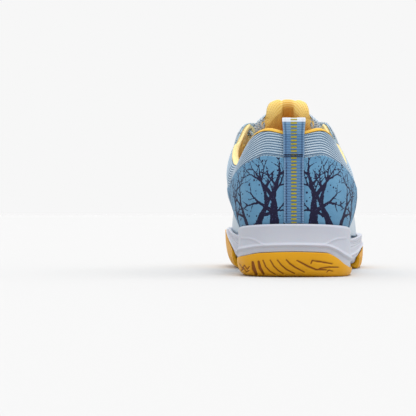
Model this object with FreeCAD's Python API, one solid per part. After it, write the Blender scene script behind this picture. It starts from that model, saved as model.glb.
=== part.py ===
"""A low-cut court shoe for the right foot, built up the way a cemented shoe is.

The frame is the standing shoe: +Z up, +Y from the heel to the toe, +X to the outer (lateral) side.
The origin is on the floor, under the middle of the shoe's bounding box. Sizes are in millimetres.

The shoe's form is a skin S(s, v). The station s goes round the shoe: 0 at the back of the heel, +12 at
the toe along the lateral side and -12 at the toe along the medial side. The height v goes up the skin,
from 0 at the sole to 1 at the collar, the lace throat or the ridge of the toe box. Every upper piece is
a patch of that skin between two depths below or above it.
"""

import FreeCAD, Part
import math
import os

V = FreeCAD.Vector

# ---------------------------------------------------------------- driving dimensions
SHOE_LENGTH = 298.0          # heel to toe, over the sole
HALF_LENGTH = SHOE_LENGTH / 2

RUBBER = 3.8                 # outsole thickness under the foot
WING = 2.4                   # outsole thickness where it climbs the side of the forefoot
GAP = 0.3                    # clearance left for cement and thread between neighbouring pieces
SHEET = 1.2                  # outer mesh thickness
OVERLAY = 0.8                # film and synthetic leather overlays
COUNTER = 1.5                # heel counter and toe puff thickness
LINING = 0.9                 # lining thickness
FEATHER_INSET = 7.0          # from the sole's edge to the skin at the footbed

HEEL_PAD_END = 94.0          # front edge of the heel outsole, from the heel
FORE_PAD_START = 168.0       # rear edge of the forefoot outsole
FLEX_GROOVES = 5             # chevron grooves across the forefoot tread
FLEX_START = 186.0
FLEX_PITCH = 13.0
FLEX_SWEEP = 9.0             # how far a groove's ends stand in front of its middle
GROOVE_WIDTH = 2.0
GROOVE_DEPTH = 1.4
PAD_SWEEP = 10.0             # how far the heel pad's front edge comes forward in the middle
BEYOND = 70.0                # half the width of the cutters, past the sole on both sides
SEAT_GAP = 0.4               # clearance between the rubber dish and the foam that sits in it
SHANK_BASE = 1.4             # the shank's underside above the midsole's floor line
SHANK_THICKNESS = 2.0
BOARD = 1.2                  # lasting board thickness
SOCK_FOAM = 4.0              # insole foam thickness
SOCK_CLOTH = 0.9             # insole top cloth thickness
# x, y, half width, half length, bottom and top of the two pads
CUSHIONS = [(1.0, 40.0, 19.0, 25.0, 15.5, 22.0), (-1.0, 205.0, 27.0, 24.0, 7.5, 12.0)]
SOCK_INSET = 12.4            # from the outline to the insole's edge

FOAM_BASE = 1.6              # padding between the shell and the lining where there is a counter
FOAM_SWELL = 4.6             # what the collar's padding adds to that
COLLAR_END = 5.6             # the station where the collar's padding stops
QUARTER_END = 9.3            # the station of the seam between the quarters and the vamp
EDGE_TOP = 0.972             # where the collar's layers stop under the piping
SEAM_GAP = 0.009             # what the collar's mesh leaves free above the seam
THROAT = 0.995               # the height where the quarters and the vamp end at the throat
OVERLAY_FOOT = 0.03          # where the overlays start above the sole
COUNTER_END = 3.7            # the heel counter's last station and its height
COUNTER_TOP = 0.40
PUFF_START = 10.5            # the toe puff's first station and its height
PUFF_TOP = 0.42
BOARD_FOOT = 0.02            # where the counter and the puff start above the sole
PRINT_END = 4.4              # the printed panel's last station
CAP_START = 10.7             # the toe cap's first station
EYESTAY = (6.15, 9.7)        # first and last station of the eyestays, the waist films and the mudguards
WAIST_FILM = (4.5, 8.9)
MUDGUARD = (9.0, 10.6)
LACE_STAY = (6.3, 6.75)      # stations and heights of the webbing stay beside the throat
LACE_STAY_HEIGHTS = (0.63, 0.785)
LINING_END = 6.35            # where the collar's lining meets the vamp's
LINING_SEAM = 9.15           # where the vamp's lining starts to rise to the ridge

EYELETS = [9.0, 8.6, 8.2, 7.8, 7.4, 7.0]     # stations of the lace holes, from the toe up
EYELET_HEIGHT = 0.92         # their height on the skin
EYELET_RADIUS = 2.6
LACE_RADIUS = 1.45
LACE_OVER = 3.3              # the lace's centre line above the skin, where it lies on an eyestay
LACE_UNDER = -3.1            # and below it
LACE_EDGE = {1: 0.7, -1: 0.1}    # what it stands further off where it turns over or under the throat's edge
LACE_LIFT = 3.3              # how much higher the upper strand is where two strands cross
LACE_TUCK = 1.5              # how much deeper the lace's ends lie, inside the quarters
AGLET_LENGTH = 18.0
AGLET_RADIUS = 1.25

STRAP_WIDTH = 15.0           # the pull loop's webbing
STRIP_WIDTH = 13.0           # the same webbing where it is sewn down
STRAP_THICKNESS = 1.1
TAIL_DEPTH = 1.9             # how far the loop's inner end lies behind the lining
BARTACK_HEIGHT = 0.775       # the stitched bar's place on the skin, its height and its thickness
BARTACK_TALL = 1.8
BARTACK_THICK = 0.7
RIM_INSET = 1.8              # from the outline to the inside of the midsole's rim
RIM_FORE = 2.7               # how much further in that is in the forefoot

# One row per station, heel to toe: y, lateral x and medial x of the sole's outline
OUTLINE = [
    (0.0, 0.0, 0.0), (4.5, 21.0, -21.0), (17.0, 33.8, -33.6), (40.0, 39.2, -38.6),
    (72.0, 39.0, -37.0), (104.0, 38.8, -34.6), (140.0, 43.5, -38.6), (175.0, 50.2, -47.6),
    (208.0, 53.8, -53.4), (240.0, 50.8, -53.2), (268.0, 39.6, -46.0), (289.0, 19.5, -29.5),
    (298.0, -6.0, -6.0),
]
# The skin's upper edge: y, z, lateral x and medial x. From station 10 on, both sides meet in the ridge.
TOP_EDGE = [
    (14.5, 95.5, 0.0, 0.0), (17.5, 98.8, 16.5, -16.5), (29.0, 96.2, 24.4, -26.6), (50.0, 86.0, 30.4, -33.6),
    (76.0, 77.0, 36.2, -40.0), (102.0, 85.0, 35.2, -43.6), (124.0, 100.0, 28.5, -40.2),
    (142.0, 108.5, 21.5, -31.8), (172.0, 88.5, 12.5, -21.0), (203.0, 70.0, 6.0, -15.0),
    (226.0, 60.0, -5.0, -5.0), (245.0, 55.0, -6.0, -6.0), (262.0, 49.5, -7.0, -7.0),
]
# How each profile curve swells. Near the sole: outward push and share of the height. Near the top edge:
# outward push and share of the height.
SWELL = [
    (7.5, 0.40, 2.0, 0.35), (8.5, 0.40, 3.0, 0.35), (11.5, 0.40, 6.0, 0.32), (13.0, 0.40, 10.5, 0.28),
    (14.0, 0.38, 9.5, 0.26), (14.5, 0.36, 11.5, 0.28), (10.5, 0.34, 11.0, 0.27), (7.5, 0.36, 10.5, 0.24),
    (6.5, 0.42, 14.0, 0.16), (6.0, 0.52, 16.0, 0.12), (5.5, 0.62, 21.0, 0.0), (5.0, 0.70, 20.0, 0.0),
    (4.5, 0.76, 17.0, 0.0),
]
RIDGE_START = 10             # the first station where the two sides meet in the ridge
PLAN_LEAN = 0.06             # how far the lower swell leans towards the top edge in plan

# Heights along the shoe, as (y, z) knots
FOOTBED = [(0, 24.0), (50, 24.0), (100, 21.5), (150, 17.5), (200, 14.8), (235, 15.4), (265, 19.0),
           (298, 25.5)]
FLOOR_LINE = [(0, -0.4), (90, -0.4), (112, 3.4), (130, 4.6), (150, 3.4), (172, -0.4), (243, -0.4),
              (270, 3.2), (298, 11.0)]
# Heights along the outline, as (station, z) knots from the medial toe round the heel to the lateral toe
RIM = [(-12, 37.5), (-10.5, 32.5), (-9.4, 31.0), (-8.6, 31.2), (-7.8, 30.5), (-6.8, 26.5), (-6, 25.0),
       (-5, 25.5), (-4, 28.0), (-3, 31.5), (-2, 33.8), (0, 35.2), (2, 33.8), (3, 31.5), (4, 28.0), (5, 24.5),
       (6, 23.5), (7.5, 25.5), (9, 27.0), (10.5, 31.0), (12, 37.5)]
RUBBER_TOP = [(-12, 34.0), (-11, 28.5), (-10.2, 25.5), (-9.4, 26.5), (-8.6, 29.2), (-7.9, 27.4),
              (-7.1, 17.0), (-6.5, 9.0), (-4.8, 9.5), (-3.5, 10.8), (-2, 13.6), (-1, 16.0), (0, 16.7),
              (1, 16.0), (1.5, 12.8), (2.0, 8.2), (2.6, 5.4), (4.8, 5.4), (6.5, 8.5), (7.2, 12.5),
              (8.0, 16.2), (9.0, 14.5), (10.0, 16.5), (11.0, 23.5), (12, 34.0)]
# The tongue: y, z, half width and drop of the edges, from its sewn base to its tip
TONGUE = [(236.0, 50.8, 11.0, 2.0), (223.0, 54.4, 14.5, 3.6), (203.0, 65.2, 18.0, 6.6),
          (172.0, 84.9, 22.0, 10.4), (145.0, 103.6, 23.0, 12.0), (128.0, 116.0, 25.5, 13.0),
          (113.0, 126.6, 22.0, 12.0)]
TONGUE_CENTRE = -4.5
TONGUE_PADDING = 4.6
TONGUE_GAP = 0.5
TONGUE_BACK = -(SHEET + 2 * TONGUE_GAP + TONGUE_PADDING)     # the depth of the tongue's lining
# The pull loop's centre line above the collar: y and z, from the outer leg over the top to the inner leg
LOOP = [(12.6, 97.2), (12.7, 99.6), (13.2, 102.4), (15.2, 104.7), (18.4, 105.0), (21.2, 103.2),
        (22.4, 100.2), (22.5, 97.2)]
# How far the ground contact stands inside the outline
BEVEL = [(-12, 15.0), (-10.5, 11.5), (-9, 12.0), (-6, 6.0), (-4.8, 4.0), (-2.6, 9.0), (0, 12.0), (1.5, 6.0),
         (2.6, 3.5), (4.8, 3.0), (6, 3.0), (9, 5.0), (10.5, 9.0), (12, 15.0)]


# ---------------------------------------------------------------- small mathematics
def solve(rows, right):
    """Gaussian elimination of rows x = right, where each right-hand side is a tuple."""
    n = len(rows)
    a = [list(map(float, r)) + list(map(float, b)) for r, b in zip(rows, right)]
    for i in range(n):
        pivot = max(range(i, n), key=lambda k: abs(a[k][i]))
        a[i], a[pivot] = a[pivot], a[i]
        for k in range(n):
            if k != i and a[k][i]:
                share = a[k][i] / a[i][i]
                a[k] = [x - share * y for x, y in zip(a[k], a[i])]
    return [tuple(x / a[i][i] for x in a[i][n:]) for i in range(n)]


def knots_curve(knots):
    """A smooth height along a line, through (position, value) knots: a monotone cubic."""
    xs, ys = [k[0] for k in knots], [k[1] for k in knots]
    steps = [(ys[i + 1] - ys[i]) / (xs[i + 1] - xs[i]) for i in range(len(xs) - 1)]
    slopes = [steps[0]]
    for a, b in zip(steps, steps[1:]):
        slopes.append(0.0 if a * b <= 0 else 2 * a * b / (a + b))
    slopes.append(steps[-1])

    def at(x):
        x = min(max(x, xs[0]), xs[-1])
        i = max(k for k in range(len(xs) - 1) if xs[k] <= x or k == 0)
        h = xs[i + 1] - xs[i]
        t = (x - xs[i]) / h
        return (ys[i] * (1 + 2 * t) * (1 - t) ** 2 + slopes[i] * h * t * (1 - t) ** 2
                + ys[i + 1] * t * t * (3 - 2 * t) - slopes[i + 1] * h * t * t * (1 - t))

    return at


def chord_knots():
    """One knot per station round the whole outline, spaced by the outline's mean chord, and the period."""
    chords = [0.0]
    for (ya, la, ma), (yb, lb, mb) in zip(OUTLINE, OUTLINE[1:]):
        chords.append(chords[-1] + (math.hypot(yb - ya, lb - la) + math.hypot(yb - ya, mb - ma)) / 2)
    period = 2 * chords[-1]
    return chords, chords[:12] + [period - c for c in reversed(chords[1:])], period


CHORDS, KNOTS, PERIOD = chord_knots()


class Rail:
    """A closed smooth curve through one point per station, with knots at the outline's chord lengths."""

    def __init__(self, lateral, medial):
        self.points = [tuple(p) for p in lateral] + [tuple(p) for p in reversed(medial[1:12])]
        n = len(self.points)
        h = [((KNOTS + [PERIOD])[i + 1] - KNOTS[i]) for i in range(n)]
        rows, right = [], []
        for i in range(n):
            row = [0.0] * n
            row[i - 1] += h[i - 1]
            row[i] += 2 * (h[i - 1] + h[i])
            row[(i + 1) % n] += h[i]
            before, here, after = self.points[i - 1], self.points[i], self.points[(i + 1) % n]
            rows.append(row)
            right.append([6 * ((c - b) / h[i] - (b - a) / h[i - 1]) for a, b, c in zip(before, here, after)])
        self.bends = solve(rows, right)
        self.h = h

    def at(self, s):
        s = (s + 12) % 24 - 12
        k = min(int(abs(s)), 11)
        t = CHORDS[k] + (abs(s) - k) * (CHORDS[k + 1] - CHORDS[k])
        t = t if s >= 0 else PERIOD - t
        t %= PERIOD
        i = max(j for j in range(len(KNOTS)) if KNOTS[j] <= t)
        j = (i + 1) % len(KNOTS)
        h, a = self.h[i], t - KNOTS[i]
        b = h - a
        return tuple(
            (ma * b ** 3 + mb * a ** 3) / (6 * h) + (pa / h - ma * h / 6) * b + (pb / h - mb * h / 6) * a
            for pa, pb, ma, mb in zip(self.points[i], self.points[j], self.bends[i], self.bends[j]))


footbed = knots_curve(FOOTBED)
floor_line = knots_curve(FLOOR_LINE)
rim_height = knots_curve(RIM)
rubber_top = knots_curve(RUBBER_TOP)
bevel = knots_curve(BEVEL)


def wrap(s):
    return (s + 12) % 24 - 12


def smooth(t):
    """A step from 0 to 1 with level ends."""
    t = min(max(t, 0.0), 1.0)
    return t * t * (3 - 2 * t)


# ---------------------------------------------------------------- the skin
outline_rail = Rail([(l, y) for y, l, m in OUTLINE], [(m, y) for y, l, m in OUTLINE])


def outline(s, inset=0.0):
    """A point of the sole's outline in plan, moved inwards by inset."""
    x, y = outline_rail.at(s)
    xa, ya = outline_rail.at(s - 0.02)
    xb, yb = outline_rail.at(s + 0.02)
    length = math.hypot(xb - xa, yb - ya)
    return x - inset * (yb - ya) / length, y + inset * (xb - xa) / length


def skin_rails():
    """The four rails of the skin: feather edge, lower swell, upper swell and top edge."""
    sides = {}
    for side in (1, -1):
        feather, low, high, top = [], [], [], []
        for k in range(13):
            low_out, low_share, high_out, high_share = SWELL[k]
            bx, by = outline(side * k, FEATHER_INSET)
            ox, oy = outline(side * k, FEATHER_INSET - low_out)
            nx, ny = (ox - bx) / low_out, (oy - by) / low_out
            bz = footbed(by) + GAP
            ty, tz, lateral_x, medial_x = TOP_EDGE[k]
            tx = lateral_x if side > 0 else medial_x
            feather.append((bx, by, bz))
            low.append((ox + PLAN_LEAN * (tx - bx), oy + PLAN_LEAN * (ty - by), bz + low_share * (tz - bz)))
            drop = high_share * (tz - bz)
            if k >= RIDGE_START:
                ya, za = TOP_EDGE[k - 1][:2]
                yb, zb = TOP_EDGE[min(k + 1, 12)][:2]
                drop = (za - zb) / (yb - ya) * high_out * ny
            high.append((tx + high_out * nx, ty + high_out * ny, tz - drop))
            top.append((tx, ty, tz))
        sides[side] = (feather, low, high, top)
    return [Rail(a, b) for a, b in zip(sides[1], sides[-1])]


feather_rail, low_rail, high_rail, top_rail = skin_rails()


def skin(s, v):
    """The skin's point at station s and height v, as three numbers."""
    top = top_rail.at(s)
    if abs(wrap(s)) > RIDGE_START:
        top = tuple((a + b) / 2 for a, b in zip(top, top_rail.at(-s)))
    weights = ((1 - v) ** 3, 3 * v * (1 - v) ** 2, 3 * v * v * (1 - v), v ** 3)
    points = (feather_rail.at(s), low_rail.at(s), high_rail.at(s), top)
    return tuple(sum(w * p[i] for w, p in zip(weights, points)) for i in range(3))


def normal(s, v):
    """The skin's outward unit normal. On the ridge it is the mean of the two sides'."""
    low, high = max(v - 0.01, 0.0), min(v + 0.01, 0.985)
    low = min(low, high - 0.01)
    mid = (low + high) / 2
    along = V(*skin(s + 0.04, mid)) - V(*skin(s - 0.04, mid))
    up = V(*skin(s, high)) - V(*skin(s, low))
    n = along.cross(up)
    n.normalize()
    return n


def on_skin(s, v, depth=0.0):
    """A point depth above the skin (negative: below it), in the shoe's frame."""
    n = normal(s, v)
    if v > 0.999 and abs(wrap(s)) >= RIDGE_START:
        n = n + normal(-s, v)
        n.normalize()
    return place(V(*skin(s, v)) + n * depth)


def place(p):
    """From the heel-based layout to the shoe's frame."""
    return V(p.x, p.y - HALF_LENGTH, p.z)


# ---------------------------------------------------------------- solids from grids of points
_inverses = {}


def spline_basis(n):
    """Clamped cubic knots for n points and the inverse of their interpolation matrix."""
    if n in _inverses:
        return _inverses[n]
    t = [i / (n - 1) for i in range(n)]
    inner = [sum(t[j:j + 3]) / 3 for j in range(1, n - 3)]
    flat = [0.0] * 4 + inner + [1.0] * 4

    def basis(i, d, x):
        if d == 0:
            return 1.0 if flat[i] <= x < flat[i + 1] or (x == 1.0 and flat[i] < flat[i + 1] == 1.0) else 0.0
        left = flat[i + d] - flat[i]
        right = flat[i + d + 1] - flat[i + 1]
        return ((x - flat[i]) / left * basis(i, d - 1, x) if left else 0.0) + (
            (flat[i + d + 1] - x) / right * basis(i + 1, d - 1, x) if right else 0.0)

    rows = [[basis(j, 3, x) for j in range(n)] for x in t]
    unit = [[1.0 if i == j else 0.0 for j in range(n)] for i in range(n)]
    _inverses[n] = ([0.0] + inner + [1.0], [4] + [1] * len(inner) + [4], solve(rows, unit))
    return _inverses[n]


def poles_of(points):
    """The poles of the cubic through a row of points."""
    inverse = spline_basis(len(points))[2]
    return [sum((p * w for p, w in zip(points, row)), V(0, 0, 0)) for row in inverse]


def grid_face(grid):
    """The bicubic face through a grid of points."""
    rows = [poles_of(r) for r in grid]
    poles = list(zip(*[poles_of(list(c)) for c in zip(*rows)]))
    ku, mu, _ = spline_basis(len(grid))
    kv, mv, _ = spline_basis(len(grid[0]))
    surface = Part.BSplineSurface()
    surface.buildFromPolesMultsKnots([list(r) for r in poles], mu, mv, ku, kv, False, False, 3, 3)
    return surface.toShape()


def side_face(top, bottom):
    """The ruled face between two rows of points."""
    k, m, _ = spline_basis(len(top))
    surface = Part.BSplineSurface()
    poles = [poles_of(top), poles_of(bottom)]
    surface.buildFromPolesMultsKnots(poles, [2, 2], m, [0.0, 1.0], k, False, False, 1, 3)
    return surface.toShape()


def solid_of(blocks):
    """One solid from blocks, each a pair of facing grids. Sides that two blocks share are left out."""
    faces, sides = [], {}
    for upper, lower in blocks:
        faces += [grid_face(upper), grid_face(lower)]
        edges = [(upper[0], lower[0]), (upper[-1], lower[-1])]
        edges += [([r[i] for r in upper], [r[i] for r in lower]) for i in (0, -1)]
        for a, b in edges:
            corners = [a[0], a[-1], b[0], b[-1], a[len(a) // 2]]
            key = tuple(sorted((round(p.x, 2), round(p.y, 2), round(p.z, 2)) for p in corners[:4]))
            sides.setdefault(key, []).append((list(a), list(b)))
    faces += [side_face(*pairs[0]) for pairs in sides.values() if len(pairs) == 1]
    return sew(faces)


def sew(faces):
    shape = Part.makeCompound(faces)
    shape.sewShape(0.005)
    shells = shape.Shells
    solid = Part.Solid(shells[0])
    if solid.Volume < 0:
        solid.reverse()
    if len(shells) != 1 or not solid.isValid() or not solid.isClosed():
        print("  check this solid:", len(shells), "shells, valid", solid.isValid(),
              "closed", solid.isClosed())
    return solid


def steps(a, b, n):
    return [a + (b - a) * i / (n - 1) for i in range(n)]


def panel(left, right, low, high, outer, inner, across=9, up=6):
    """A patch of the skin. left and right are stations as functions of the share of the height, low and
    high are heights v as functions of the station, outer and inner are depths as functions of (s, v)."""
    upper, lower = [], []
    for p in steps(0, 1, across):
        row_u, row_l = [], []
        for q in steps(0, 1, up):
            s = left(q) + (right(q) - left(q)) * p
            v = low(s) + (high(s) - low(s)) * q
            row_u.append(on_skin(s, v, outer(s, v)))
            row_l.append(on_skin(s, v, inner(s, v)))
        upper.append(row_u)
        lower.append(row_l)
    return upper, lower


def constant(x):
    return lambda *args: x


def side_name(side):
    return "lateral" if side > 0 else "medial"


# ---------------------------------------------------------------- the sole
CORNER_HEEL, CORNER_TOE = 2.2, 10.8
RING = [(-CORNER_HEEL, CORNER_HEEL, 11), (CORNER_HEEL, CORNER_TOE, 27), (CORNER_TOE, 24 - CORNER_TOE, 11),
        (24 - CORNER_TOE, 24 - CORNER_HEEL, 27)]


def coons(heel, toe, medial, lateral):
    """A grid in plan between four rows of (x, y) points. heel and toe run from medial to lateral."""
    grid = []
    for i, (m, l) in enumerate(zip(medial, lateral)):
        v = i / (len(medial) - 1)
        row = []
        for j, (a, b) in enumerate(zip(heel, toe)):
            u = j / (len(heel) - 1)
            row.append(tuple(
                (1 - u) * m[k] + u * l[k] + (1 - v) * a[k] + v * b[k]
                - (1 - v) * ((1 - u) * heel[0][k] + u * heel[-1][k])
                - v * ((1 - u) * toe[0][k] + u * toe[-1][k])
                for k in (0, 1)))
        grid.append(row)
    return grid


def foot_plan(inset):
    """A grid over the whole sole in plan, inside the outline by inset(s)."""
    rows = [[outline(s, inset(wrap(s))) for s in steps(a, b, n)] for a, b, n in RING]
    heel, lateral, toe, medial = rows
    return coons(heel, list(reversed(toe)), list(reversed(medial)), lateral)


def slab(plan, lower, upper):
    """A slab between two heights, each a function of (x, y)."""
    up = [[place(V(x, y, upper(x, y))) for x, y in row] for row in plan]
    down = [[place(V(x, y, lower(x, y))) for x, y in row] for row in plan]
    return up, down


def ring_strip(rows, a, b, n):
    """A wall strip between stations a and b: each row is (inset, z) as a function of the station."""
    grid = []
    for s in steps(a, b, n):
        t = wrap(s)
        grid.append([place(V(*outline(t, row(t)[0]), row(t)[1])) for row in rows])
    return grid


def dish(bottom_inset, bottom_z, strips, top_inset, top_z):
    """A closed solid with a floor, walls made of strips that share their end rows, and a bed."""
    faces = []
    for inset, height in ((bottom_inset, bottom_z), (top_inset, top_z)):
        faces.append(grid_face([[place(V(x, y, height(x, y))) for x, y in row] for row in foot_plan(inset)]))
    for rows in strips:
        faces += [grid_face(ring_strip(rows, a, b, n)) for a, b, n in RING]
    return sew(faces)


def profile(a, b, shape):
    """Rows between two edge rows a and b; shape lists (share of the inset, share of the height)."""
    def row(p, q):
        def at(s):
            (ia, za), (ib, zb) = a(s), b(s)
            return ia + (ib - ia) * p, za + (zb - za) * q
        return at
    return [row(p, q) for p, q in shape]


def edge(inset, height):
    return lambda s: (inset(s), height(s))


def along(line, inset, extra=0.0):
    """The height line(y) + extra, under the outline moved in by inset(s)."""
    return lambda s: line(outline(s, inset(s))[1]) + extra


STRAIGHT = [(0, 0), (1 / 3, 1 / 3), (2 / 3, 2 / 3), (1, 1)]
ROUNDED = [(0, 0), (0.5, 0.10), (0.82, 0.36), (0.96, 0.68), (1, 1)]
HOLLOW = [(0, 0), (0.45, 0.08), (0.80, 0.34), (0.95, 0.67), (1, 1)]


def build_outsole():
    """The rubber dish before it is cut into a heel pad and a forefoot pad."""
    ground = edge(bevel, along(floor_line, bevel))
    rim_out = edge(constant(0.0), rubber_top)
    rim_in = edge(constant(WING), rubber_top)
    inner = lambda s: bevel(s) + WING
    bed = edge(inner, along(floor_line, inner, RUBBER))
    strips = [profile(ground, rim_out, ROUNDED), profile(rim_out, rim_in, STRAIGHT),
              profile(rim_in, bed, [(1 - p, 1 - q) for p, q in reversed(HOLLOW)])]
    return dish(bevel, lambda x, y: floor_line(y), strips, inner, lambda x, y: floor_line(y) + RUBBER)


def wall_inset(s):
    """The midsole's wall steps back behind the medial rubber wing and is flush elsewhere."""
    return 0.3 + 1.7 * smooth(1 - abs(s + 8.5))


def build_midsole_blank():
    """The foam cup: a bed under the foot and a rim that stands up round the upper."""
    under = lambda s: bevel(s) + WING + SEAT_GAP
    floor = edge(under, along(floor_line, under, RUBBER + GAP))
    ledge_in = edge(constant(WING + SEAT_GAP), lambda s: rubber_top(s) + GAP)
    ledge_out = edge(wall_inset, lambda s: rubber_top(s) + GAP)
    rim_out = edge(lambda s: wall_inset(s) + 0.1, rim_height)
    rim_in = edge(lambda s: RIM_INSET + RIM_FORE * smooth((abs(s) - 6.5) / 1.6), rim_height)
    cup = lambda s: FEATHER_INSET - OVERLAY - 1.0
    bed = edge(cup, along(footbed, cup))
    strips = [profile(floor, ledge_in, HOLLOW), profile(ledge_in, ledge_out, STRAIGHT),
              profile(ledge_out, rim_out, [(0, 0), (-1.0, 0.3), (0.5, 0.5), (-2.0, 0.75), (1, 1)]),
              profile(rim_out, rim_in, STRAIGHT), profile(rim_in, bed, STRAIGHT)]
    return dish(under, lambda x, y: floor_line(y) + RUBBER + GAP, strips, cup, lambda x, y: footbed(y))


def box(x0, x1, y0, y1, z0, z1):
    """A block between two corners, with y from the heel."""
    low = place(V(x0, y0, z0))
    return Part.makeBox(x1 - x0, y1 - y0, z1 - z0, low)


def cutter(points, z0, z1):
    """A prism on a closed plan of (x, y) points, with y from the heel."""
    corners = [place(V(x, y, z0)) for x, y in points]
    return Part.Face(Part.makePolygon(corners + corners[:1])).extrude(V(0, 0, z1 - z0))


def build_outsole_pads():
    dish_solid = build_outsole()
    behind, ahead = -10.0, SHOE_LENGTH + 12
    below, over = -20.0, 60.0
    floor = box(-BEYOND, BEYOND, behind, ahead, below, 0)
    side_y, middle_y = HEEL_PAD_END - 0.6 * PAD_SWEEP, HEEL_PAD_END + 0.4 * PAD_SWEEP
    zone = [(-BEYOND, behind), (BEYOND, behind), (BEYOND, side_y), (0, middle_y), (-BEYOND, side_y)]
    heel_zone = cutter(zone, below, over)
    side_y, middle_y = FORE_PAD_START + 0.6 * PAD_SWEEP, FORE_PAD_START - 0.6 * PAD_SWEEP
    zone = [(-BEYOND, ahead), (BEYOND, ahead), (BEYOND, side_y), (0, middle_y), (-BEYOND, side_y)]
    fore_zone = cutter(zone, below, over)
    trimmed = dish_solid.cut(floor)
    fore = trimmed.common(fore_zone)
    grooves = []
    for k in range(FLEX_GROOVES):
        y = FLEX_START + FLEX_PITCH * k
        rear = [(-BEYOND, y + FLEX_SWEEP), (0, y), (BEYOND, y + FLEX_SWEEP)]
        front = [(px, py + GROOVE_WIDTH) for px, py in reversed(rear)]
        grooves.append(cutter(rear + front, -1, GROOVE_DEPTH))
    fore = fore.cut(Part.makeCompound(grooves))
    return trimmed.common(heel_zone), fore


def ellipse_pad(x, y, rx, ry, z0, z1):
    """An upright elliptical block."""
    ring = Part.Ellipse(V(0, 0, 0), max(rx, ry), min(rx, ry)).toShape()
    if ry > rx:
        ring.rotate(V(0, 0, 0), V(0, 0, 1), 90)
    ring.translate(place(V(x, y, z0)))
    return Part.Face(Part.Wire(ring)).extrude(V(0, 0, z1 - z0))


def build_cushions():
    """The two shock pads and the pockets in the midsole that hold them."""
    pads, pockets = [], []
    for x, y, rx, ry, z0, z1 in CUSHIONS:
        pads.append(ellipse_pad(x, y, rx, ry, z0 + GAP, z1))
        pockets.append(ellipse_pad(x, y, rx + GAP, ry + GAP, z0, z1 + 12))
    return pads, pockets


def build_shank():
    """A stiff plate under the arch, between the two rubber pads."""
    rows = []
    for y in steps(HEEL_PAD_END + 7, FORE_PAD_START - 9, 7):
        half = 15 + 4 * math.cos((y - 131) / 30)
        rows.append([(x - 1.0, y) for x in steps(-half, half, 5)])
    return solid_of([slab(rows, lambda x, y: floor_line(y) + SHANK_BASE,
                          lambda x, y: floor_line(y) + SHANK_BASE + SHANK_THICKNESS)])


def sole_layer(inset, low, high):
    """A layer lying on the footbed between two heights above it."""
    plan = foot_plan(constant(inset))
    return solid_of([slab(plan, lambda x, y: footbed(y) + low, lambda x, y: footbed(y) + high)])


# ---------------------------------------------------------------- the upper
collar_seam = knots_curve([(0, 0.765), (1.0, 0.758), (2, 0.705), (3.2, 0.66), (4.3, 0.645), (5.0, 0.71),
                           (5.6, 0.83)])


def seam(s):
    """Where the collar's mesh is sewn to the quarters, as a height of the skin."""
    return collar_seam(abs(s))


def quarter_edge(s):
    """The quarter's upper edge in front of the collar: it rises from the seam to the throat."""
    return seam(COLLAR_END) + (THROAT - seam(COLLAR_END)) * smooth((abs(s) - COLLAR_END) / 0.4)


def foam_depth(s, v):
    """The depth of the room between the shell and the lining."""
    rise = smooth((v - 0.46) / 0.26)
    fall = math.sqrt(min(max((1.0 - v) / 0.17, 0.0), 1.0))
    ends = smooth((COLLAR_END - abs(s)) / 1.1)
    return FOAM_BASE + FOAM_SWELL * rise * fall * ends


def lining_face(s, v):
    return -(SHEET + 2 * GAP + foam_depth(s, v))


def lining_back(s, v):
    return lining_face(s, v) - LINING


def toe_room(s, v):
    """The vamp lining dips below the toe puff."""
    return -(SHEET + GAP + (COUNTER + GAP) * smooth((abs(s) - 9.9) / 0.5))


def toe_room_back(s, v):
    return toe_room(s, v) - LINING


def throat_edge(s):
    """The vamp's upper edge: just under the throat's edge, and exactly on the ridge."""
    return THROAT + (1 - THROAT) * smooth((abs(s) - 9.5) / 0.5)


def lining_edge(s):
    """The vamp lining stays below the lace holes and comes up to the ridge."""
    return 0.80 + 0.20 * smooth((abs(s) - LINING_SEAM) / (RIDGE_START - LINING_SEAM))


def patch(first, last, low, high, below, above, across=11, up=7):
    """A solid patch of the upper between two stations."""
    return solid_of([panel(constant(first), constant(last), low, high, above, below, across, up)])


def build_quarter(side):
    """Outer fabric from the heel seam to the vamp, with the lace holes."""
    outer, inner, foot = constant(0.0), constant(-SHEET), constant(0.0)
    a, b, c = side * 0.05, side * COLLAR_END, side * QUARTER_END
    rear = panel(constant(a), constant(b), foot, seam, outer, inner, 23, 9)
    fore = panel(constant(b), constant(c), foot, quarter_edge, outer, inner, 17, 9)
    return solid_of([rear, fore]).cut(lace_holes(side))


def lace_holes(side):
    """Round holes through the quarter and the eyestay."""
    holes = []
    for s in EYELETS:
        n = normal(side * s, EYELET_HEIGHT)
        base = on_skin(side * s, EYELET_HEIGHT, -4.0)
        holes.append(Part.makeCylinder(EYELET_RADIUS, 9.0, base, n))
    return Part.makeCompound(holes)


def build_toe_layer(start, bottom, throat, above, below):
    """Both halves of a layer over the toes. They meet along the ridge of the toe box."""
    blocks = []
    for side in (1, -1):
        edges = [side * start, side * RIDGE_START, side * 12]
        for a, b, top in zip(edges, edges[1:], (throat, constant(1.0))):
            blocks.append(panel(constant(a), constant(b), bottom, top, above, below, 9, 10))
    return solid_of(blocks)


def build_front_lining():
    """The forefoot's lining: low beside the throat, whole over the toes."""
    blocks = []
    for side in (1, -1):
        edges = [side * (LINING_END + 0.1), side * LINING_SEAM, side * RIDGE_START, side * 12]
        for a, b, top in zip(edges, edges[1:], (lining_edge, lining_edge, constant(1.0))):
            blocks.append(panel(constant(a), constant(b), constant(0.0), top, toe_room, toe_room_back, 9, 10))
    return solid_of(blocks)


def build_eyestay(side):
    """The reinforcement along the throat that carries the lace holes."""
    first, last = EYESTAY
    low = knots_curve([(first, 0.80), (7.0, 0.80), (8.5, 0.78), (last, 0.84)])
    band = patch(side * first, side * last, lambda s: low(abs(s)), constant(THROAT - 0.01), constant(GAP),
                 constant(GAP + 1.0), 15, 5)
    return band.cut(lace_holes(side))


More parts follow.
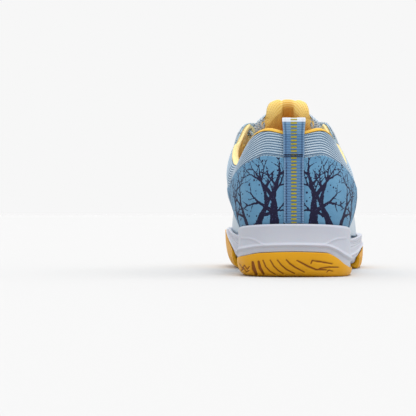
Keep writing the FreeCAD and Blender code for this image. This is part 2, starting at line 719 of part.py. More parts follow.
def build_heel_print(side):
    """The printed film over the heel half of a quarter."""
    top = lambda s: seam(s) - 0.012
    return patch(side * 0.05, side * PRINT_END, constant(OVERLAY_FOOT), top, constant(GAP),
                 constant(GAP + OVERLAY), 13, 8)


def build_side_overlay(side):
    """The smooth film on the waist of the shoe."""
    first, last = WAIST_FILM
    top = knots_curve([(first, 0.52), (5.5, 0.60), (7.0, 0.55), (last, 0.30)])
    return patch(side * first, side * last, constant(0.085), lambda s: top(abs(s)), constant(GAP),
                 constant(GAP + OVERLAY), 13, 7)


def build_mudguard(side):
    """The abrasion film along the side of the forefoot."""
    first, last = MUDGUARD
    top = knots_curve([(first, 0.36), (9.8, 0.44), (last, 0.40)])
    return patch(side * first, side * last, constant(OVERLAY_FOOT), lambda s: top(abs(s)), constant(GAP),
                 constant(GAP + OVERLAY), 9, 6)


def build_toe_cap():
    """The film over the tip of the toe."""
    return patch(CAP_START, 24 - CAP_START, constant(OVERLAY_FOOT), lambda s: 0.44 - 0.05 * (s - 12) ** 2,
                 constant(GAP), constant(GAP + 1.0), 13, 6)


def build_lace_loop(side):
    """A webbing stay that ties the top of the throat to the waist."""
    low, high = LACE_STAY_HEIGHTS
    return patch(side * LACE_STAY[0], side * LACE_STAY[1], constant(low), constant(high), constant(GAP),
                 constant(GAP + 1.0), 5, 6)


# ---------------------------------------------------------------- the tongue
tongue_z = knots_curve([(-y, z) for y, z, half, drop in TONGUE])
tongue_half = knots_curve([(-y, half) for y, z, half, drop in TONGUE])
tongue_drop = knots_curve([(-y, drop) for y, z, half, drop in TONGUE])


def tongue_point(p, y, depth):
    """A point of the tongue: p runs from -1 to 1 across it, y is its section's place from the heel."""
    def face(p, y):
        tip = 1 - 0.0022 * max(0.0, 122 - y) ** 2 * p ** 4
        return V(TONGUE_CENTRE + p * tongue_half(-y) * tip, y, tongue_z(-y) - tongue_drop(-y) * p * p)
    across = face(p + 0.01, y) - face(p - 0.01, y)
    along_it = face(p, y - 0.2) - face(p, y + 0.2)
    n = along_it.cross(across)
    n.normalize()
    return place(face(p, y) + n * depth)


def tongue_layer(first, last, width, above, below):
    """A layer of the tongue between two sections and two depths."""
    upper, lower = [], []
    for y in steps(first, last, 25):
        upper.append([tongue_point(p * width, y, above) for p in steps(-1, 1, 9)])
        lower.append([tongue_point(p * width, y, below) for p in steps(-1, 1, 9)])
    return solid_of([(upper, lower)])


# ---------------------------------------------------------------- webbing and laces
def ribbon(path, width, thickness):
    """Webbing that follows (y, z) points, with its faces square to the path."""
    upper, lower = [], []
    for i, (y, z) in enumerate(path):
        ya, za = path[max(i - 1, 0)]
        yb, zb = path[min(i + 1, len(path) - 1)]
        length = math.hypot(yb - ya, zb - za)
        ny, nz = -(zb - za) / length, (yb - ya) / length
        for row, side in ((upper, 0.5), (lower, -0.5)):
            shift = side * thickness
            row.append([place(V(x, y + shift * ny, z + shift * nz)) for x in steps(-width / 2, width / 2, 4)])
    return solid_of([(upper, lower)])


def heel_line(v0, v1, depth, count):
    """Points (y, z) up the back of the heel at a depth above the skin."""
    points = []
    for v in steps(v0, v1, count):
        p = V(*skin(0, v)) + normal(0, v) * depth(v)
        points.append((p.y, p.z))
    return points


def build_strip():
    """The webbing sewn down the back seam. Its upper end is the loop's outer leg."""
    depth = constant(GAP + OVERLAY + GAP + STRAP_THICKNESS / 2)
    return ribbon(heel_line(0.145, 0.985, depth, 14), STRIP_WIDTH, STRAP_THICKNESS)


def build_tail():
    """The loop's other end, sewn inside the collar."""
    depth = lambda v: lining_back(0, v) - TAIL_DEPTH - STRAP_THICKNESS / 2
    return ribbon(heel_line(0.86, 0.975, depth, 6), STRIP_WIDTH, STRAP_THICKNESS)


def build_bartack():
    """The stitched bar where the loop leaves the strip."""
    n = normal(0, BARTACK_HEIGHT)
    centre = on_skin(0, BARTACK_HEIGHT, GAP + OVERLAY + GAP + STRAP_THICKNESS + GAP)
    wide = STRIP_WIDTH - 1
    bar = Part.makeBox(wide, BARTACK_THICK, BARTACK_TALL, V(-wide / 2, -BARTACK_THICK, -BARTACK_TALL / 2))
    lean = math.degrees(math.atan2(n.z, -n.y))
    bar.rotate(V(0, 0, 0), V(1, 0, 0), -lean)
    bar.translate(centre)
    return bar


def throat_turn(s, depth):
    """The lace's centre line where it turns over or under the throat's edge."""
    sign = 1 if depth > 0 else -1
    return on_skin(s, 1.0, depth + sign * LACE_EDGE[sign])


def lace_points(first_side):
    """The half of the lace that starts at the middle of the lowest bar and leaves on first_side."""
    points = [over_tongue(0.0, EYELETS[0], LACE_LIFT / 2)]
    side = first_side
    lift = 0.0 if first_side > 0 else LACE_LIFT
    points.append(throat_turn(side * (EYELETS[0] + 0.02), LACE_OVER))
    points.append(on_skin(side * EYELETS[0], EYELET_HEIGHT, LACE_OVER))
    points.append(on_skin(side * EYELETS[0], EYELET_HEIGHT, LACE_UNDER))
    inside = True
    for k, (s, t) in enumerate(zip(EYELETS, EYELETS[1:])):
        last = k == len(EYELETS) - 2
        leave = LACE_UNDER if inside else LACE_OVER
        arrive = LACE_OVER if last else LACE_UNDER
        points.append(throat_turn(side * (s - 0.06), leave))
        points.append(over_tongue(0.0, (s + t) / 2, lift))
        side = -side
        points.append(throat_turn(side * (t + 0.06), arrive))
        points.append(on_skin(side * t, EYELET_HEIGHT, arrive))
        points.append(on_skin(side * t, EYELET_HEIGHT, LACE_UNDER - LACE_TUCK if last else LACE_OVER))
        inside = False
        lift = LACE_LIFT - lift
    for s, v in ((7.12, 0.83), (7.3, 0.77)):
        points.append(on_skin(side * s, v, LACE_UNDER - LACE_TUCK))
    end = on_skin(side * 7.5, 0.715, LACE_UNDER - LACE_TUCK)
    return points, end


def over_tongue(x, s, lift):
    """A point of the lace above the tongue, in the section of the throat's edge at station s."""
    y = (top_rail.at(s)[1] + top_rail.at(-s)[1]) / 2
    return tongue_point(x, y, LACE_RADIUS + 1.0 + lift)


def tube(points, radius):
    """A round cord along straight runs and the tangent arcs between them."""
    edges, radii = [], []
    here = points[0]
    length = 0.0
    for a, b, c in zip(points, points[1:], points[2:]):
        before, after = a - b, c - b
        reach = 0.45 * min(before.Length, after.Length)
        before.normalize()
        after.normalize()
        half_turn = (math.pi - before.getAngle(after)) / 2
        radii.append(reach / math.tan(half_turn))
        start, end = b + before * reach, b + after * reach
        middle = before + after
        middle.normalize()
        bend = b + middle * (radii[-1] / math.cos(half_turn) - radii[-1])
        edges += [Part.LineSegment(here, start).toShape(), Part.Arc(start, bend, end).toShape()]
        here = end
    edges.append(Part.LineSegment(here, points[-1]).toShape())
    path = Part.Wire(edges)
    ring = Part.Wire(Part.Circle(points[0], points[1] - points[0], radius).toShape())
    solid = path.makePipeShell([ring], True, True)
    print("  tube: length %.1f, volume over section x length %.4f, radii %s" % (
        path.Length, solid.Volume / (math.pi * radius ** 2 * path.Length),
        " ".join("%.1f" % r for r in radii)))
    return solid


def build_laces():
    """The lace, whole, and the two tips tucked inside the quarters."""
    right, right_end = lace_points(1)
    left, left_end = lace_points(-1)
    lace = tube(list(reversed(left)) + right[1:], LACE_RADIUS)
    tips = []
    for path, end in ((right, right_end), (left, left_end)):
        direction = end - path[-1]
        direction.normalize()
        tips.append(Part.makeCylinder(AGLET_RADIUS, AGLET_LENGTH, path[-1] + direction * GAP, direction))
    return lace, tips


# ---------------------------------------------------------------- every sub-part
def build_parts():
    heel_pad, fore_pad = build_outsole_pads()
    pads, pockets = build_cushions()
    board_top = GAP + BOARD
    sock_top = board_top + GAP + SOCK_FOAM
    shell_inside = -(SHEET + GAP)
    parts = {
        "outsole_heel": heel_pad,
        "outsole_forefoot": fore_pad,
        "midsole": build_midsole_blank().cut(Part.makeCompound(pockets)),
        "arch_shank": build_shank(),
        "heel_cushion": pads[0],
        "forefoot_cushion": pads[1],
        "strobel_board": sole_layer(SOCK_INSET - 0.3, GAP, board_top),
        "insole": sole_layer(SOCK_INSET, board_top + GAP, sock_top),
        "insole_cover": sole_layer(SOCK_INSET, sock_top + GAP, sock_top + GAP + SOCK_CLOTH),
        "heel_counter": patch(-COUNTER_END, COUNTER_END, constant(BOARD_FOOT), constant(COUNTER_TOP),
                              constant(shell_inside - COUNTER), constant(shell_inside), 15, 6),
        "toe_puff": patch(PUFF_START, 24 - PUFF_START, constant(BOARD_FOOT), constant(PUFF_TOP),
                          constant(shell_inside - COUNTER), constant(shell_inside), 13, 6),
        "collar_panel": patch(-COLLAR_END + 0.02, COLLAR_END - 0.02, lambda s: seam(s) + SEAM_GAP,
                              constant(EDGE_TOP), constant(-SHEET), constant(0.0), 45, 7),
        "collar_foam": patch(-5.3, 5.3, constant(0.43), constant(EDGE_TOP - 0.01),
                             lambda s, v: shell_inside - foam_depth(s, v), constant(shell_inside), 25, 9),
        "collar_lining": patch(-LINING_END, LINING_END, constant(0.0), constant(EDGE_TOP), lining_back,
                               lining_face, 27, 12),
        "collar_piping": patch(-COLLAR_END, COLLAR_END, constant(EDGE_TOP + 0.006), constant(1.0),
                               lambda s, v: lining_back(s, EDGE_TOP), constant(-0.1), 27, 4),
        "vamp": build_toe_layer(QUARTER_END + 0.03, constant(0.0), throat_edge, constant(0.0),
                                constant(-SHEET)),
        "vamp_lining": build_front_lining(),
        "toe_cap": build_toe_cap(),
        "tongue_outer": tongue_layer(236, 113, 1.0, 0.0, -SHEET),
        "tongue_foam": tongue_layer(233, 122, 0.92, -SHEET - TONGUE_GAP,
                                    -SHEET - TONGUE_GAP - TONGUE_PADDING),
        "tongue_lining": tongue_layer(236, 113, 1.0, TONGUE_BACK, TONGUE_BACK - LINING),
        "heel_strip": build_strip(),
        "pull_tab": ribbon(LOOP, STRAP_WIDTH, STRAP_THICKNESS),
        "pull_tab_tail": build_tail(),
        "pull_tab_bartack": build_bartack(),
    }
    paired = {"quarter": build_quarter, "heel_print": build_heel_print, "eyestay": build_eyestay,
              "side_overlay": build_side_overlay, "mudguard": build_mudguard, "lace_loop": build_lace_loop}
    for name, build in paired.items():
        for side in (1, -1):
            parts[name + "_" + side_name(side)] = build(side)
    lace, tips = build_laces()
    parts["lace"] = lace
    for side, tip in zip(("medial", "lateral"), tips):
        parts["aglet_" + side] = tip
    return parts


if __name__ == "__main__":
    os.makedirs("parts", exist_ok=True)
    for node, shape in build_parts().items():
        print("%-22s volume %9.1f  valid %s" % (node, shape.Volume, shape.isValid()))
        shape.exportStep("parts/" + node + ".step")
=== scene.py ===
"""The court shoe's looks: fabric, film, foam, rubber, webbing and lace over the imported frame.

The shoe's form is the same skin that the frame's pieces follow: S(s, v), where s is the station round the
shoe (0 heel, +12 toe along the lateral side, -12 along the medial side) and v the height up the upper.
Shape sizes are in millimetres, measured from the heel, and `place` turns them into the frame's metres.
"""

import math

import bmesh
import bpy
import numpy as np
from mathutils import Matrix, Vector


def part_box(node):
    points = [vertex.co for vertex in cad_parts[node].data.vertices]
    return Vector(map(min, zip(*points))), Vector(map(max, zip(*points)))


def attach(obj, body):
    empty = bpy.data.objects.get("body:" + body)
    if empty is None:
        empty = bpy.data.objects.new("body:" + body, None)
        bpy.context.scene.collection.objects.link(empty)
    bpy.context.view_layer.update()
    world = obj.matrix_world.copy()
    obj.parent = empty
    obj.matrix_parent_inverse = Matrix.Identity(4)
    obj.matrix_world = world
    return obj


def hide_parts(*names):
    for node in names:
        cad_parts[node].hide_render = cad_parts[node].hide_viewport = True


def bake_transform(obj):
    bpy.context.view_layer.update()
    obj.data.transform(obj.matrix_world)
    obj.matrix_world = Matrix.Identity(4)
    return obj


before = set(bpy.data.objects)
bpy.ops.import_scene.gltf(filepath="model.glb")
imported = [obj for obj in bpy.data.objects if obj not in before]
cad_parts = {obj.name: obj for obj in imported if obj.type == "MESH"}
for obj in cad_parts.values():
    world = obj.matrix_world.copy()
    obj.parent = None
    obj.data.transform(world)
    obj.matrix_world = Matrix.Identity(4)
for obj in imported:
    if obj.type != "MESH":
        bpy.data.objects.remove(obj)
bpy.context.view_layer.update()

MM = 0.001
HALF_LENGTH = 149.0
TOE = 12                # the toe's station; the heel's is 0
SIDES = (1, -1)         # lateral, medial: the sign of a side's stations

# Thicknesses of the layers, and the room between them
GAP = 0.3
SHEET = 1.2
OVERLAY = 0.8
FILM = 1.0
LINING = 0.9
COUNTER = 1.5
RUBBER = 3.8
WING = 2.4
STRAP_THICKNESS = 1.1
FOAM_BASE = 1.6
FOAM_SWELL = 4.6

# How far the upper's foot and the midsole's rim stand inside the outline
FEATHER_INSET = 7.0
RIM_INSET = 1.8
RIM_FORE = 2.7

# Stations and heights where the upper's pieces end
COLLAR_END = 5.6
QUARTER_END = 9.3
EDGE_TOP = 0.972
THROAT_TOP = 0.985
RIDGE_START = 10
PLAN_LEAN = 0.06

EYELETS = [9.0, 8.6, 8.2, 7.8, 7.4, 7.0]
EYELET_HEIGHT = 0.92
EYELET_RADIUS = 2.6
LACE_RADIUS = 1.45
LACE_OVER = 3.3
LACE_UNDER = -3.1
LACE_END = LACE_UNDER - 1.5
LACE_EDGE = {1: 0.7, -1: 0.1}
LACE_LIFT = 3.3
STRIP_WIDTH = 13.0

# y, lateral x, medial x of the sole's outline, one row per station
OUTLINE = [
    (0.0, 0.0, 0.0), (4.5, 21.0, -21.0), (17.0, 33.8, -33.6), (40.0, 39.2, -38.6),
    (72.0, 39.0, -37.0), (104.0, 38.8, -34.6), (140.0, 43.5, -38.6), (175.0, 50.2, -47.6),
    (208.0, 53.8, -53.4), (240.0, 50.8, -53.2), (268.0, 39.6, -46.0), (289.0, 19.5, -29.5),
    (298.0, -6.0, -6.0),
]
# y, z, lateral x, medial x of the upper's top edge
TOP_EDGE = [
    (14.5, 95.5, 0.0, 0.0), (17.5, 98.8, 16.5, -16.5), (29.0, 96.2, 24.4, -26.6), (50.0, 86.0, 30.4, -33.6),
    (76.0, 77.0, 36.2, -40.0), (102.0, 85.0, 35.2, -43.6), (124.0, 100.0, 28.5, -40.2),
    (142.0, 108.5, 21.5, -31.8), (172.0, 88.5, 12.5, -21.0), (203.0, 70.0, 6.0, -15.0),
    (226.0, 60.0, -5.0, -5.0), (245.0, 55.0, -6.0, -6.0), (262.0, 49.5, -7.0, -7.0),
]
# Near the sole: outward push, share of the height. Near the top edge: outward push, share of the height.
SWELL = [
    (7.5, 0.40, 2.0, 0.35), (8.5, 0.40, 3.0, 0.35), (11.5, 0.40, 6.0, 0.32), (13.0, 0.40, 10.5, 0.28),
    (14.0, 0.38, 9.5, 0.26), (14.5, 0.36, 11.5, 0.28), (10.5, 0.34, 11.0, 0.27), (7.5, 0.36, 10.5, 0.24),
    (6.5, 0.42, 14.0, 0.16), (6.0, 0.52, 16.0, 0.12), (5.5, 0.62, 21.0, 0.0), (5.0, 0.70, 20.0, 0.0),
    (4.5, 0.76, 17.0, 0.0),
]
# Heights along the shoe: y, z
FOOTBED = [(0, 24.0), (50, 24.0), (100, 21.5), (150, 17.5), (200, 14.8), (235, 15.4), (265, 19.0),
           (298, 25.5)]
FLOOR_LINE = [(0, 0.0), (90, 0.0), (112, 3.4), (130, 4.6), (150, 3.4), (172, 0.0), (243, 0.0), (270, 3.2),
              (298, 11.0)]
# Heights of the foam's rim and the rubber's top, and the width that turns under: station, millimetres
RIM = [(-12, 37.5), (-10.5, 32.5), (-9.4, 31.0), (-8.6, 31.2), (-7.8, 30.5), (-6.8, 26.5), (-6, 25.0),
       (-5, 25.5), (-4, 28.0), (-3, 31.5), (-2, 33.8), (0, 35.2), (2, 33.8), (3, 31.5), (4, 28.0), (5, 24.5),
       (6, 23.5), (7.5, 25.5), (9, 27.0), (10.5, 31.0), (12, 37.5)]
RUBBER_TOP = [
    (-12, 34.0), (-11, 28.5), (-10.2, 25.5), (-9.4, 26.5), (-8.6, 29.2), (-7.9, 27.4), (-7.1, 17.0),
    (-6.5, 9.0), (-4.8, 9.5), (-3.5, 10.8), (-2, 13.6), (-1, 16.0), (0, 16.7), (1, 16.0), (1.5, 12.8),
    (2.0, 8.2), (2.6, 5.4), (4.8, 5.4), (6.5, 8.5), (7.2, 12.5), (8.0, 16.2), (9.0, 14.5), (10.0, 16.5),
    (11.0, 23.5), (12, 34.0),
]
BEVEL = [(-12, 15.0), (-10.5, 11.5), (-9, 12.0), (-6, 6.0), (-4.8, 4.0), (-2.6, 9.0), (0, 12.0), (1.5, 6.0),
         (2.6, 3.5), (4.8, 3.0), (6, 3.0), (9, 5.0), (10.5, 9.0), (12, 15.0)]
# y, z, half width and the drop of the edges of the tongue's sections
TONGUE = [
    (236.0, 50.8, 11.0, 2.0), (223.0, 54.4, 14.5, 3.6), (203.0, 65.2, 18.0, 6.6), (172.0, 84.9, 22.0, 10.4),
    (145.0, 103.6, 23.0, 12.0), (128.0, 116.0, 25.5, 13.0), (113.0, 126.6, 22.0, 12.0),
]
TONGUE_CENTRE = -4.5


# ---------------------------------------------------------------- curves
def smooth(t):
    """Eases from 0 to 1 as t does."""
    t = np.clip(t, 0.0, 1.0)
    return t * t * (3 - 2 * t)


def hermite(t, step, start, end, leave, arrive):
    """A cubic from start to end over a step, with the slopes leave and arrive."""
    return (start * (1 + 2 * t) * (1 - t) ** 2 + leave * step * t * (1 - t) ** 2
            + end * t * t * (3 - 2 * t) - arrive * step * t * t * (1 - t))


def knots_curve(knots):
    """A monotone cubic through (position, value) knots."""
    xs, ys = (np.array(c, float) for c in zip(*knots))
    h = np.diff(xs)
    d = np.diff(ys) / h
    product, total = d[:-1] * d[1:], d[:-1] + d[1:]
    inner = np.where(product <= 0, 0.0, 2 * product / np.where(total == 0, 1, total))
    m = np.concatenate([[d[0]], inner, [d[-1]]])

    def at(x):
        x = np.clip(np.asarray(x, float), xs[0], xs[-1])
        i = np.clip(np.searchsorted(xs, x, side="right") - 1, 0, len(h) - 1)
        return hermite((x - xs[i]) / h[i], h[i], ys[i], ys[i + 1], m[i], m[i + 1])

    return at


def chord_knots():
    """One knot per station round the outline, and the period."""
    rows = np.array(OUTLINE)
    step = np.diff(rows, axis=0)
    mean = (np.hypot(step[:, 0], step[:, 1]) + np.hypot(step[:, 0], step[:, 2])) / 2
    chords = np.concatenate([[0.0], np.cumsum(mean)])
    period = 2 * chords[-1]
    return chords, np.concatenate([chords[:TOE], period - chords[:0:-1]]), period


CHORDS, KNOTS, PERIOD = chord_knots()


def wrap(s):
    """Brings a station round the shoe into -12 to 12."""
    return (np.asarray(s, float) + TOE) % (2 * TOE) - TOE


class Rail:
    """A closed cubic spline through one point per station."""

    def __init__(self, lateral, medial):
        self.points = np.array(list(lateral) + list(reversed(medial[1:TOE])), float)
        n = len(self.points)
        self.h = np.diff(np.append(KNOTS, PERIOD))
        a = np.zeros((n, n))
        right = np.zeros_like(self.points)
        for i in range(n):
            a[i, i - 1] += self.h[i - 1]
            a[i, i] += 2 * (self.h[i - 1] + self.h[i])
            a[i, (i + 1) % n] += self.h[i]
            after, here, before = self.points[(i + 1) % n], self.points[i], self.points[i - 1]
            right[i] = 6 * ((after - here) / self.h[i] - (here - before) / self.h[i - 1])
        self.bends = np.linalg.solve(a, right)

    def at(self, s):
        s = wrap(s)
        k = np.minimum(np.abs(s).astype(int), TOE - 1)
        t = CHORDS[k] + (np.abs(s) - k) * (CHORDS[k + 1] - CHORDS[k])
        t = np.where(s >= 0, t, PERIOD - t) % PERIOD
        i = np.searchsorted(KNOTS, t, side="right") - 1
        j = (i + 1) % len(KNOTS)
        h = self.h[i][..., None]
        a = (t - KNOTS[i])[..., None]
        b = h - a
        p, q, mp, mq = self.points[i], self.points[j], self.bends[i], self.bends[j]
        return (mp * b ** 3 + mq * a ** 3) / (6 * h) + (p / h - mp * h / 6) * b + (q / h - mq * h / 6) * a


footbed = knots_curve(FOOTBED)
floor_line = knots_curve(FLOOR_LINE)
rim_height = knots_curve(RIM)
rubber_top = knots_curve(RUBBER_TOP)
bevel = knots_curve(BEVEL)
outline_rail = Rail([(l, y) for y, l, m in OUTLINE], [(m, y) for y, l, m in OUTLINE])


def outline(s, inset=0.0):
    """Plan points of the sole's outline, moved inwards."""
    p = outline_rail.at(s)
    d = outline_rail.at(s + 0.02) - outline_rail.at(s - 0.02)
    d /= np.linalg.norm(d, axis=-1, keepdims=True)
    shift = np.stack([-d[..., 1], d[..., 0]], -1)
    return p + shift * np.asarray(inset)[..., None]


def skin_rails():
    """The four rails of the skin: foot, low swell, high swell and top edge."""
    sides = {}
    for side in SIDES:
        rails = [[], [], [], []]
        for k in range(TOE + 1):
            low_out, low_share, high_out, high_share = SWELL[k]
            b = outline(np.array(float(side * k)), FEATHER_INSET)
            o = outline(np.array(float(side * k)), FEATHER_INSET - low_out)
            n = (o - b) / low_out
            bz = float(footbed(b[1])) + GAP
            ty, tz, lateral_x, medial_x = TOP_EDGE[k]
            t = np.array([lateral_x if side > 0 else medial_x, ty])
            drop = high_share * (tz - bz)
            if k >= RIDGE_START:
                ya, za = TOP_EDGE[k - 1][:2]
                yb, zb = TOP_EDGE[min(k + 1, TOE)][:2]
                drop = (za - zb) / (yb - ya) * high_out * n[1]
            low = o + PLAN_LEAN * (t - b)
            high = t + high_out * n
            rails[0].append((b[0], b[1], bz))
            rails[1].append((low[0], low[1], bz + low_share * (tz - bz)))
            rails[2].append((high[0], high[1], tz - drop))
            rails[3].append((t[0], t[1], tz))
        sides[side] = rails
    return [Rail(a, b) for a, b in zip(sides[1], sides[-1])]


feather_rail, low_rail, high_rail, top_rail = skin_rails()


def skin(s, v):
    """Points of the skin, in millimetres from the heel."""
    s, v = np.broadcast_arrays(np.asarray(s, float), np.asarray(v, float))
    top = top_rail.at(s)
    ridge = np.abs(wrap(s))[..., None] > RIDGE_START
    top = np.where(ridge, (top + top_rail.at(-s)) / 2, top)
    w = v[..., None]
    return ((1 - w) ** 3 * feather_rail.at(s) + 3 * w * (1 - w) ** 2 * low_rail.at(s)
            + 3 * w * w * (1 - w) * high_rail.at(s) + w ** 3 * top)


def path_lengths(points):
    """Distances from a path's first point."""
    return np.concatenate([[0.0], np.cumsum(np.linalg.norm(np.diff(points, axis=0), axis=1))])


def unit(v):
    """Vectors scaled to a length of 1."""
    return v / np.maximum(np.linalg.norm(v, axis=-1, keepdims=True), 1e-12)


def normal(s, v):
    """The skin's outward normals."""
    s, v = np.broadcast_arrays(np.asarray(s, float), np.asarray(v, float))
    low, high = np.maximum(v - 0.01, 0.0), np.minimum(v + 0.01, 0.985)
    low = np.minimum(low, high - 0.01)
    mid = (low + high) / 2
    return unit(np.cross(skin(s + 0.04, mid) - skin(s - 0.04, mid), skin(s, high) - skin(s, low)))


def lifted(plan, z):
    """Plan points at heights z."""
    return np.stack([plan[..., 0], plan[..., 1], z + 0 * plan[..., 0]], -1)


def on_skin(s, v, depth=0.0):
    """Points at a depth above the skin, in millimetres from the heel."""
    s, v, depth = np.broadcast_arrays(np.asarray(s, float), np.asarray(v, float), np.asarray(depth, float))
    n = normal(s, v)
    ridge = (v > 0.999) & (np.abs(wrap(s)) >= RIDGE_START)
    n = np.where(ridge[..., None], unit(n + normal(-s, v)), n)
    return skin(s, v) + n * depth[..., None]


def place(p):
    """From millimetres from the heel to the frame's metres."""
    return (np.asarray(p) - np.array([0.0, HALF_LENGTH, 0.0])) * MM


def from_frame(p):
    """From the frame's metres to millimetres from the heel."""
    return np.asarray(p) / MM + np.array([0.0, HALF_LENGTH, 0.0])


LENGTH_STATIONS = np.linspace(-14, 14, 561)
LENGTH_HEIGHTS = np.linspace(0, 1, 61)


def skin_lengths():
    """Distances in millimetres along the skin from the heel's centre, and up it from the sole."""
    points = skin(LENGTH_STATIONS[:, None], LENGTH_HEIGHTS[None, :])
    along = np.linalg.norm(np.diff(points, axis=0), axis=-1)
    up = np.linalg.norm(np.diff(points, axis=1), axis=-1)
    along = np.concatenate([np.zeros((1, len(LENGTH_HEIGHTS))), np.cumsum(along, axis=0)])
    up = np.concatenate([np.zeros((len(LENGTH_STATIONS), 1)), np.cumsum(up, axis=1)], axis=1)
    return along - along[len(LENGTH_STATIONS) // 2], up


ALONG, UP = skin_lengths()


def lookup(table, s, v):
    """A table of the skin between its stations and heights."""
    s, v = np.broadcast_arrays(np.asarray(s, float), np.asarray(v, float))
    step = LENGTH_STATIONS[1] - LENGTH_STATIONS[0]
    a = np.clip((s - LENGTH_STATIONS[0]) / step, 0, len(LENGTH_STATIONS) - 1.001)
    b = np.clip(v * (len(LENGTH_HEIGHTS) - 1), 0, len(LENGTH_HEIGHTS) - 1.001)
    i, j = a.astype(int), b.astype(int)
    a, b = a - i, b - j
    return ((1 - a) * (1 - b) * table[i, j] + a * (1 - b) * table[i + 1, j]
            + (1 - a) * b * table[i, j + 1] + a * b * table[i + 1, j + 1])


def flat_of(s, v):
    """Fabric coordinates: millimetres along and up the skin."""
    return np.stack([lookup(ALONG, s, v), lookup(UP, s, v), np.zeros(np.broadcast(s, v).shape)], -1)


# ---------------------------------------------------------------- meshes
def constant(value):
    """A function that gives one value everywhere."""
    return lambda *args: value


def side_name(side):
    return "lateral" if side > 0 else "medial"


def quads(rows, cols, start=0, flip=False):
    """The faces of a grid of rows x cols points."""
    i = start + np.arange(rows - 1)[:, None] * cols + np.arange(cols - 1)[None, :]
    faces = np.stack([i, i + cols, i + cols + 1, i + 1], -1).reshape(-1, 4)
    return faces[:, ::-1] if flip else faces


def add_object(name, data):
    """Links a new object to the scene."""
    made = bpy.data.objects.new(name, data)
    bpy.context.scene.collection.objects.link(made)
    return made


def add_piece(name, points, faces, material, body, nodes=(), marks=None):
    """A mesh piece from points in millimetres from the heel. marks are values kept on its points."""
    mesh = bpy.data.meshes.new(name)
    mesh.from_pydata(place(points).reshape(-1, 3).tolist(), [], [list(map(int, f)) for f in faces])
    for key, values in (marks or {}).items():
        values = np.asarray(values, np.float32)
        kind = "FLOAT_VECTOR" if values.shape[-1:] == (3,) and values.ndim > 1 else "FLOAT"
        field = "vector" if kind == "FLOAT_VECTOR" else "value"
        mesh.attributes.new(key, kind, "POINT").data.foreach_set(field, values.ravel())
    piece = add_object(name, mesh)
    turn_outwards(mesh)
    mesh.polygons.foreach_set("use_smooth", [True] * len(mesh.polygons))
    mesh.materials.append(material)
    if body:
        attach(piece, body)
    if nodes:
        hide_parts(*nodes)
    return piece


def turn_outwards(mesh):
    """Turns the faces of a closed mesh outwards."""
    edit = bmesh.new()
    edit.from_mesh(mesh)
    if edit.calc_volume(signed=True) < 0:
        bmesh.ops.reverse_faces(edit, faces=edit.faces)
    edit.to_mesh(mesh)
    edit.free()


def merged(points, faces):
    """Joins the points that lie on each other: the places of those kept, and the faces that are left."""
    first, back = np.unique(np.round(points, 3), axis=0, return_index=True, return_inverse=True)[1:]
    kept = []
    for face in back.ravel()[faces]:
        ring = [int(a) for a, b in zip(face, np.roll(face, 1)) if a != b]
        if len(set(ring)) > 2:
            kept.append(ring)
    return first, kept


def closed_faces(outer, inner, faces):
    """Closes the shell between outer and inner points."""
    first, kept = merged(outer, faces)
    count = len(first)
    edges = {edge for ring in kept for edge in zip(ring, ring[1:] + ring[:1])}
    behind = [[a + count for a in ring[::-1]] for ring in kept]
    sides = [[b, a, a + count, b + count] for a, b in edges if (b, a) not in edges]
    return np.concatenate([outer[first], inner[first]]), kept + behind + sides, first


def shell(name, outer, inner, material, body="shoe", nodes=(), slot=None, marks=None, faces=None):
    """A closed piece between two grids of points. marks are one grid of values each."""
    faces = quads(*outer.shape[:2]) if faces is None else faces
    points, rings, first = closed_faces(outer.reshape(-1, 3), inner.reshape(-1, 3), faces)
    both = {}
    for key, values in (marks or {}).items():
        flat = key == "flat"
        values = np.broadcast_to(values, outer.shape if flat else outer.shape[:-1])
        values = values.reshape((-1, 3) if flat else -1)
        both[key] = np.concatenate([values[first], values[first]])
    return add_piece(name, points, rings, material, body, nodes, both)


def shares(count, length, lip):
    """Shares from 0 to 1, with closer ones inside the rolled edge of width lip."""
    edge = np.array([0.0, 0.12, 0.35, 0.65]) * lip / length
    return np.unique(np.concatenate([edge, np.linspace(lip / length, 1 - lip / length, count), 1 - edge]))


def rolled(share, length, lip):
    """How far a rolled edge has risen, from 0 at the edge to 1 a lip's width inside it."""
    t = np.clip(np.minimum(share, 1 - share) * length / lip, 0, 1)
    return np.sqrt(np.maximum(1 - (1 - t) ** 2, 0))


EDGE_SHARE = 0.3        # how much of a patch's thickness is left at its rolled edge


def patch_grids(ends, low, high, below, above, pitch, lip=0.7, relief=None):
    """Grids of a patch of the skin with a rolled edge: outer and inner points, stations and heights."""
    first, last = ends
    middle = (first + last) / 2
    half_up = (low(middle) + high(middle)) / 2
    width = abs(lookup(ALONG, last, half_up) - lookup(ALONG, first, half_up))
    spread = np.linspace(first, last, 9)
    tall = np.max(lookup(UP, spread, high(spread)) - lookup(UP, spread, low(spread)))
    p = shares(max(3, int(width / pitch[0])), width, lip)[:, None]
    q = shares(max(3, int(tall / pitch[1])), tall, lip)[None, :]
    s = first + (last - first) * p + 0 * q
    v = low(s) + (high(s) - low(s)) * q
    edge = EDGE_SHARE + (1 - EDGE_SHARE) * rolled(p, width, lip) * rolled(q, tall, lip)
    floor = below(s, v) + 0 * s
    top = floor + (above(s, v) - floor) * edge
    if relief is not None:
        top = top + relief(s, v) * edge
    return on_skin(s, v, top), on_skin(s, v, floor), s, v


def patch(name, ends, low, high, below, above, material, slot, pitch, lip=0.7, relief=None, marks=None,
          nodes=None):
    """A solid patch of the upper."""
    outer, inner, s, v = patch_grids(ends, low, high, below, above, pitch, lip, relief)
    values = {"flat": flat_of(s, v)}
    for key, function in (marks or {}).items():
        values[key] = function(s, v)
    return shell(name, outer, inner, material, "shoe", [name] if nodes is None else nodes, slot, values)


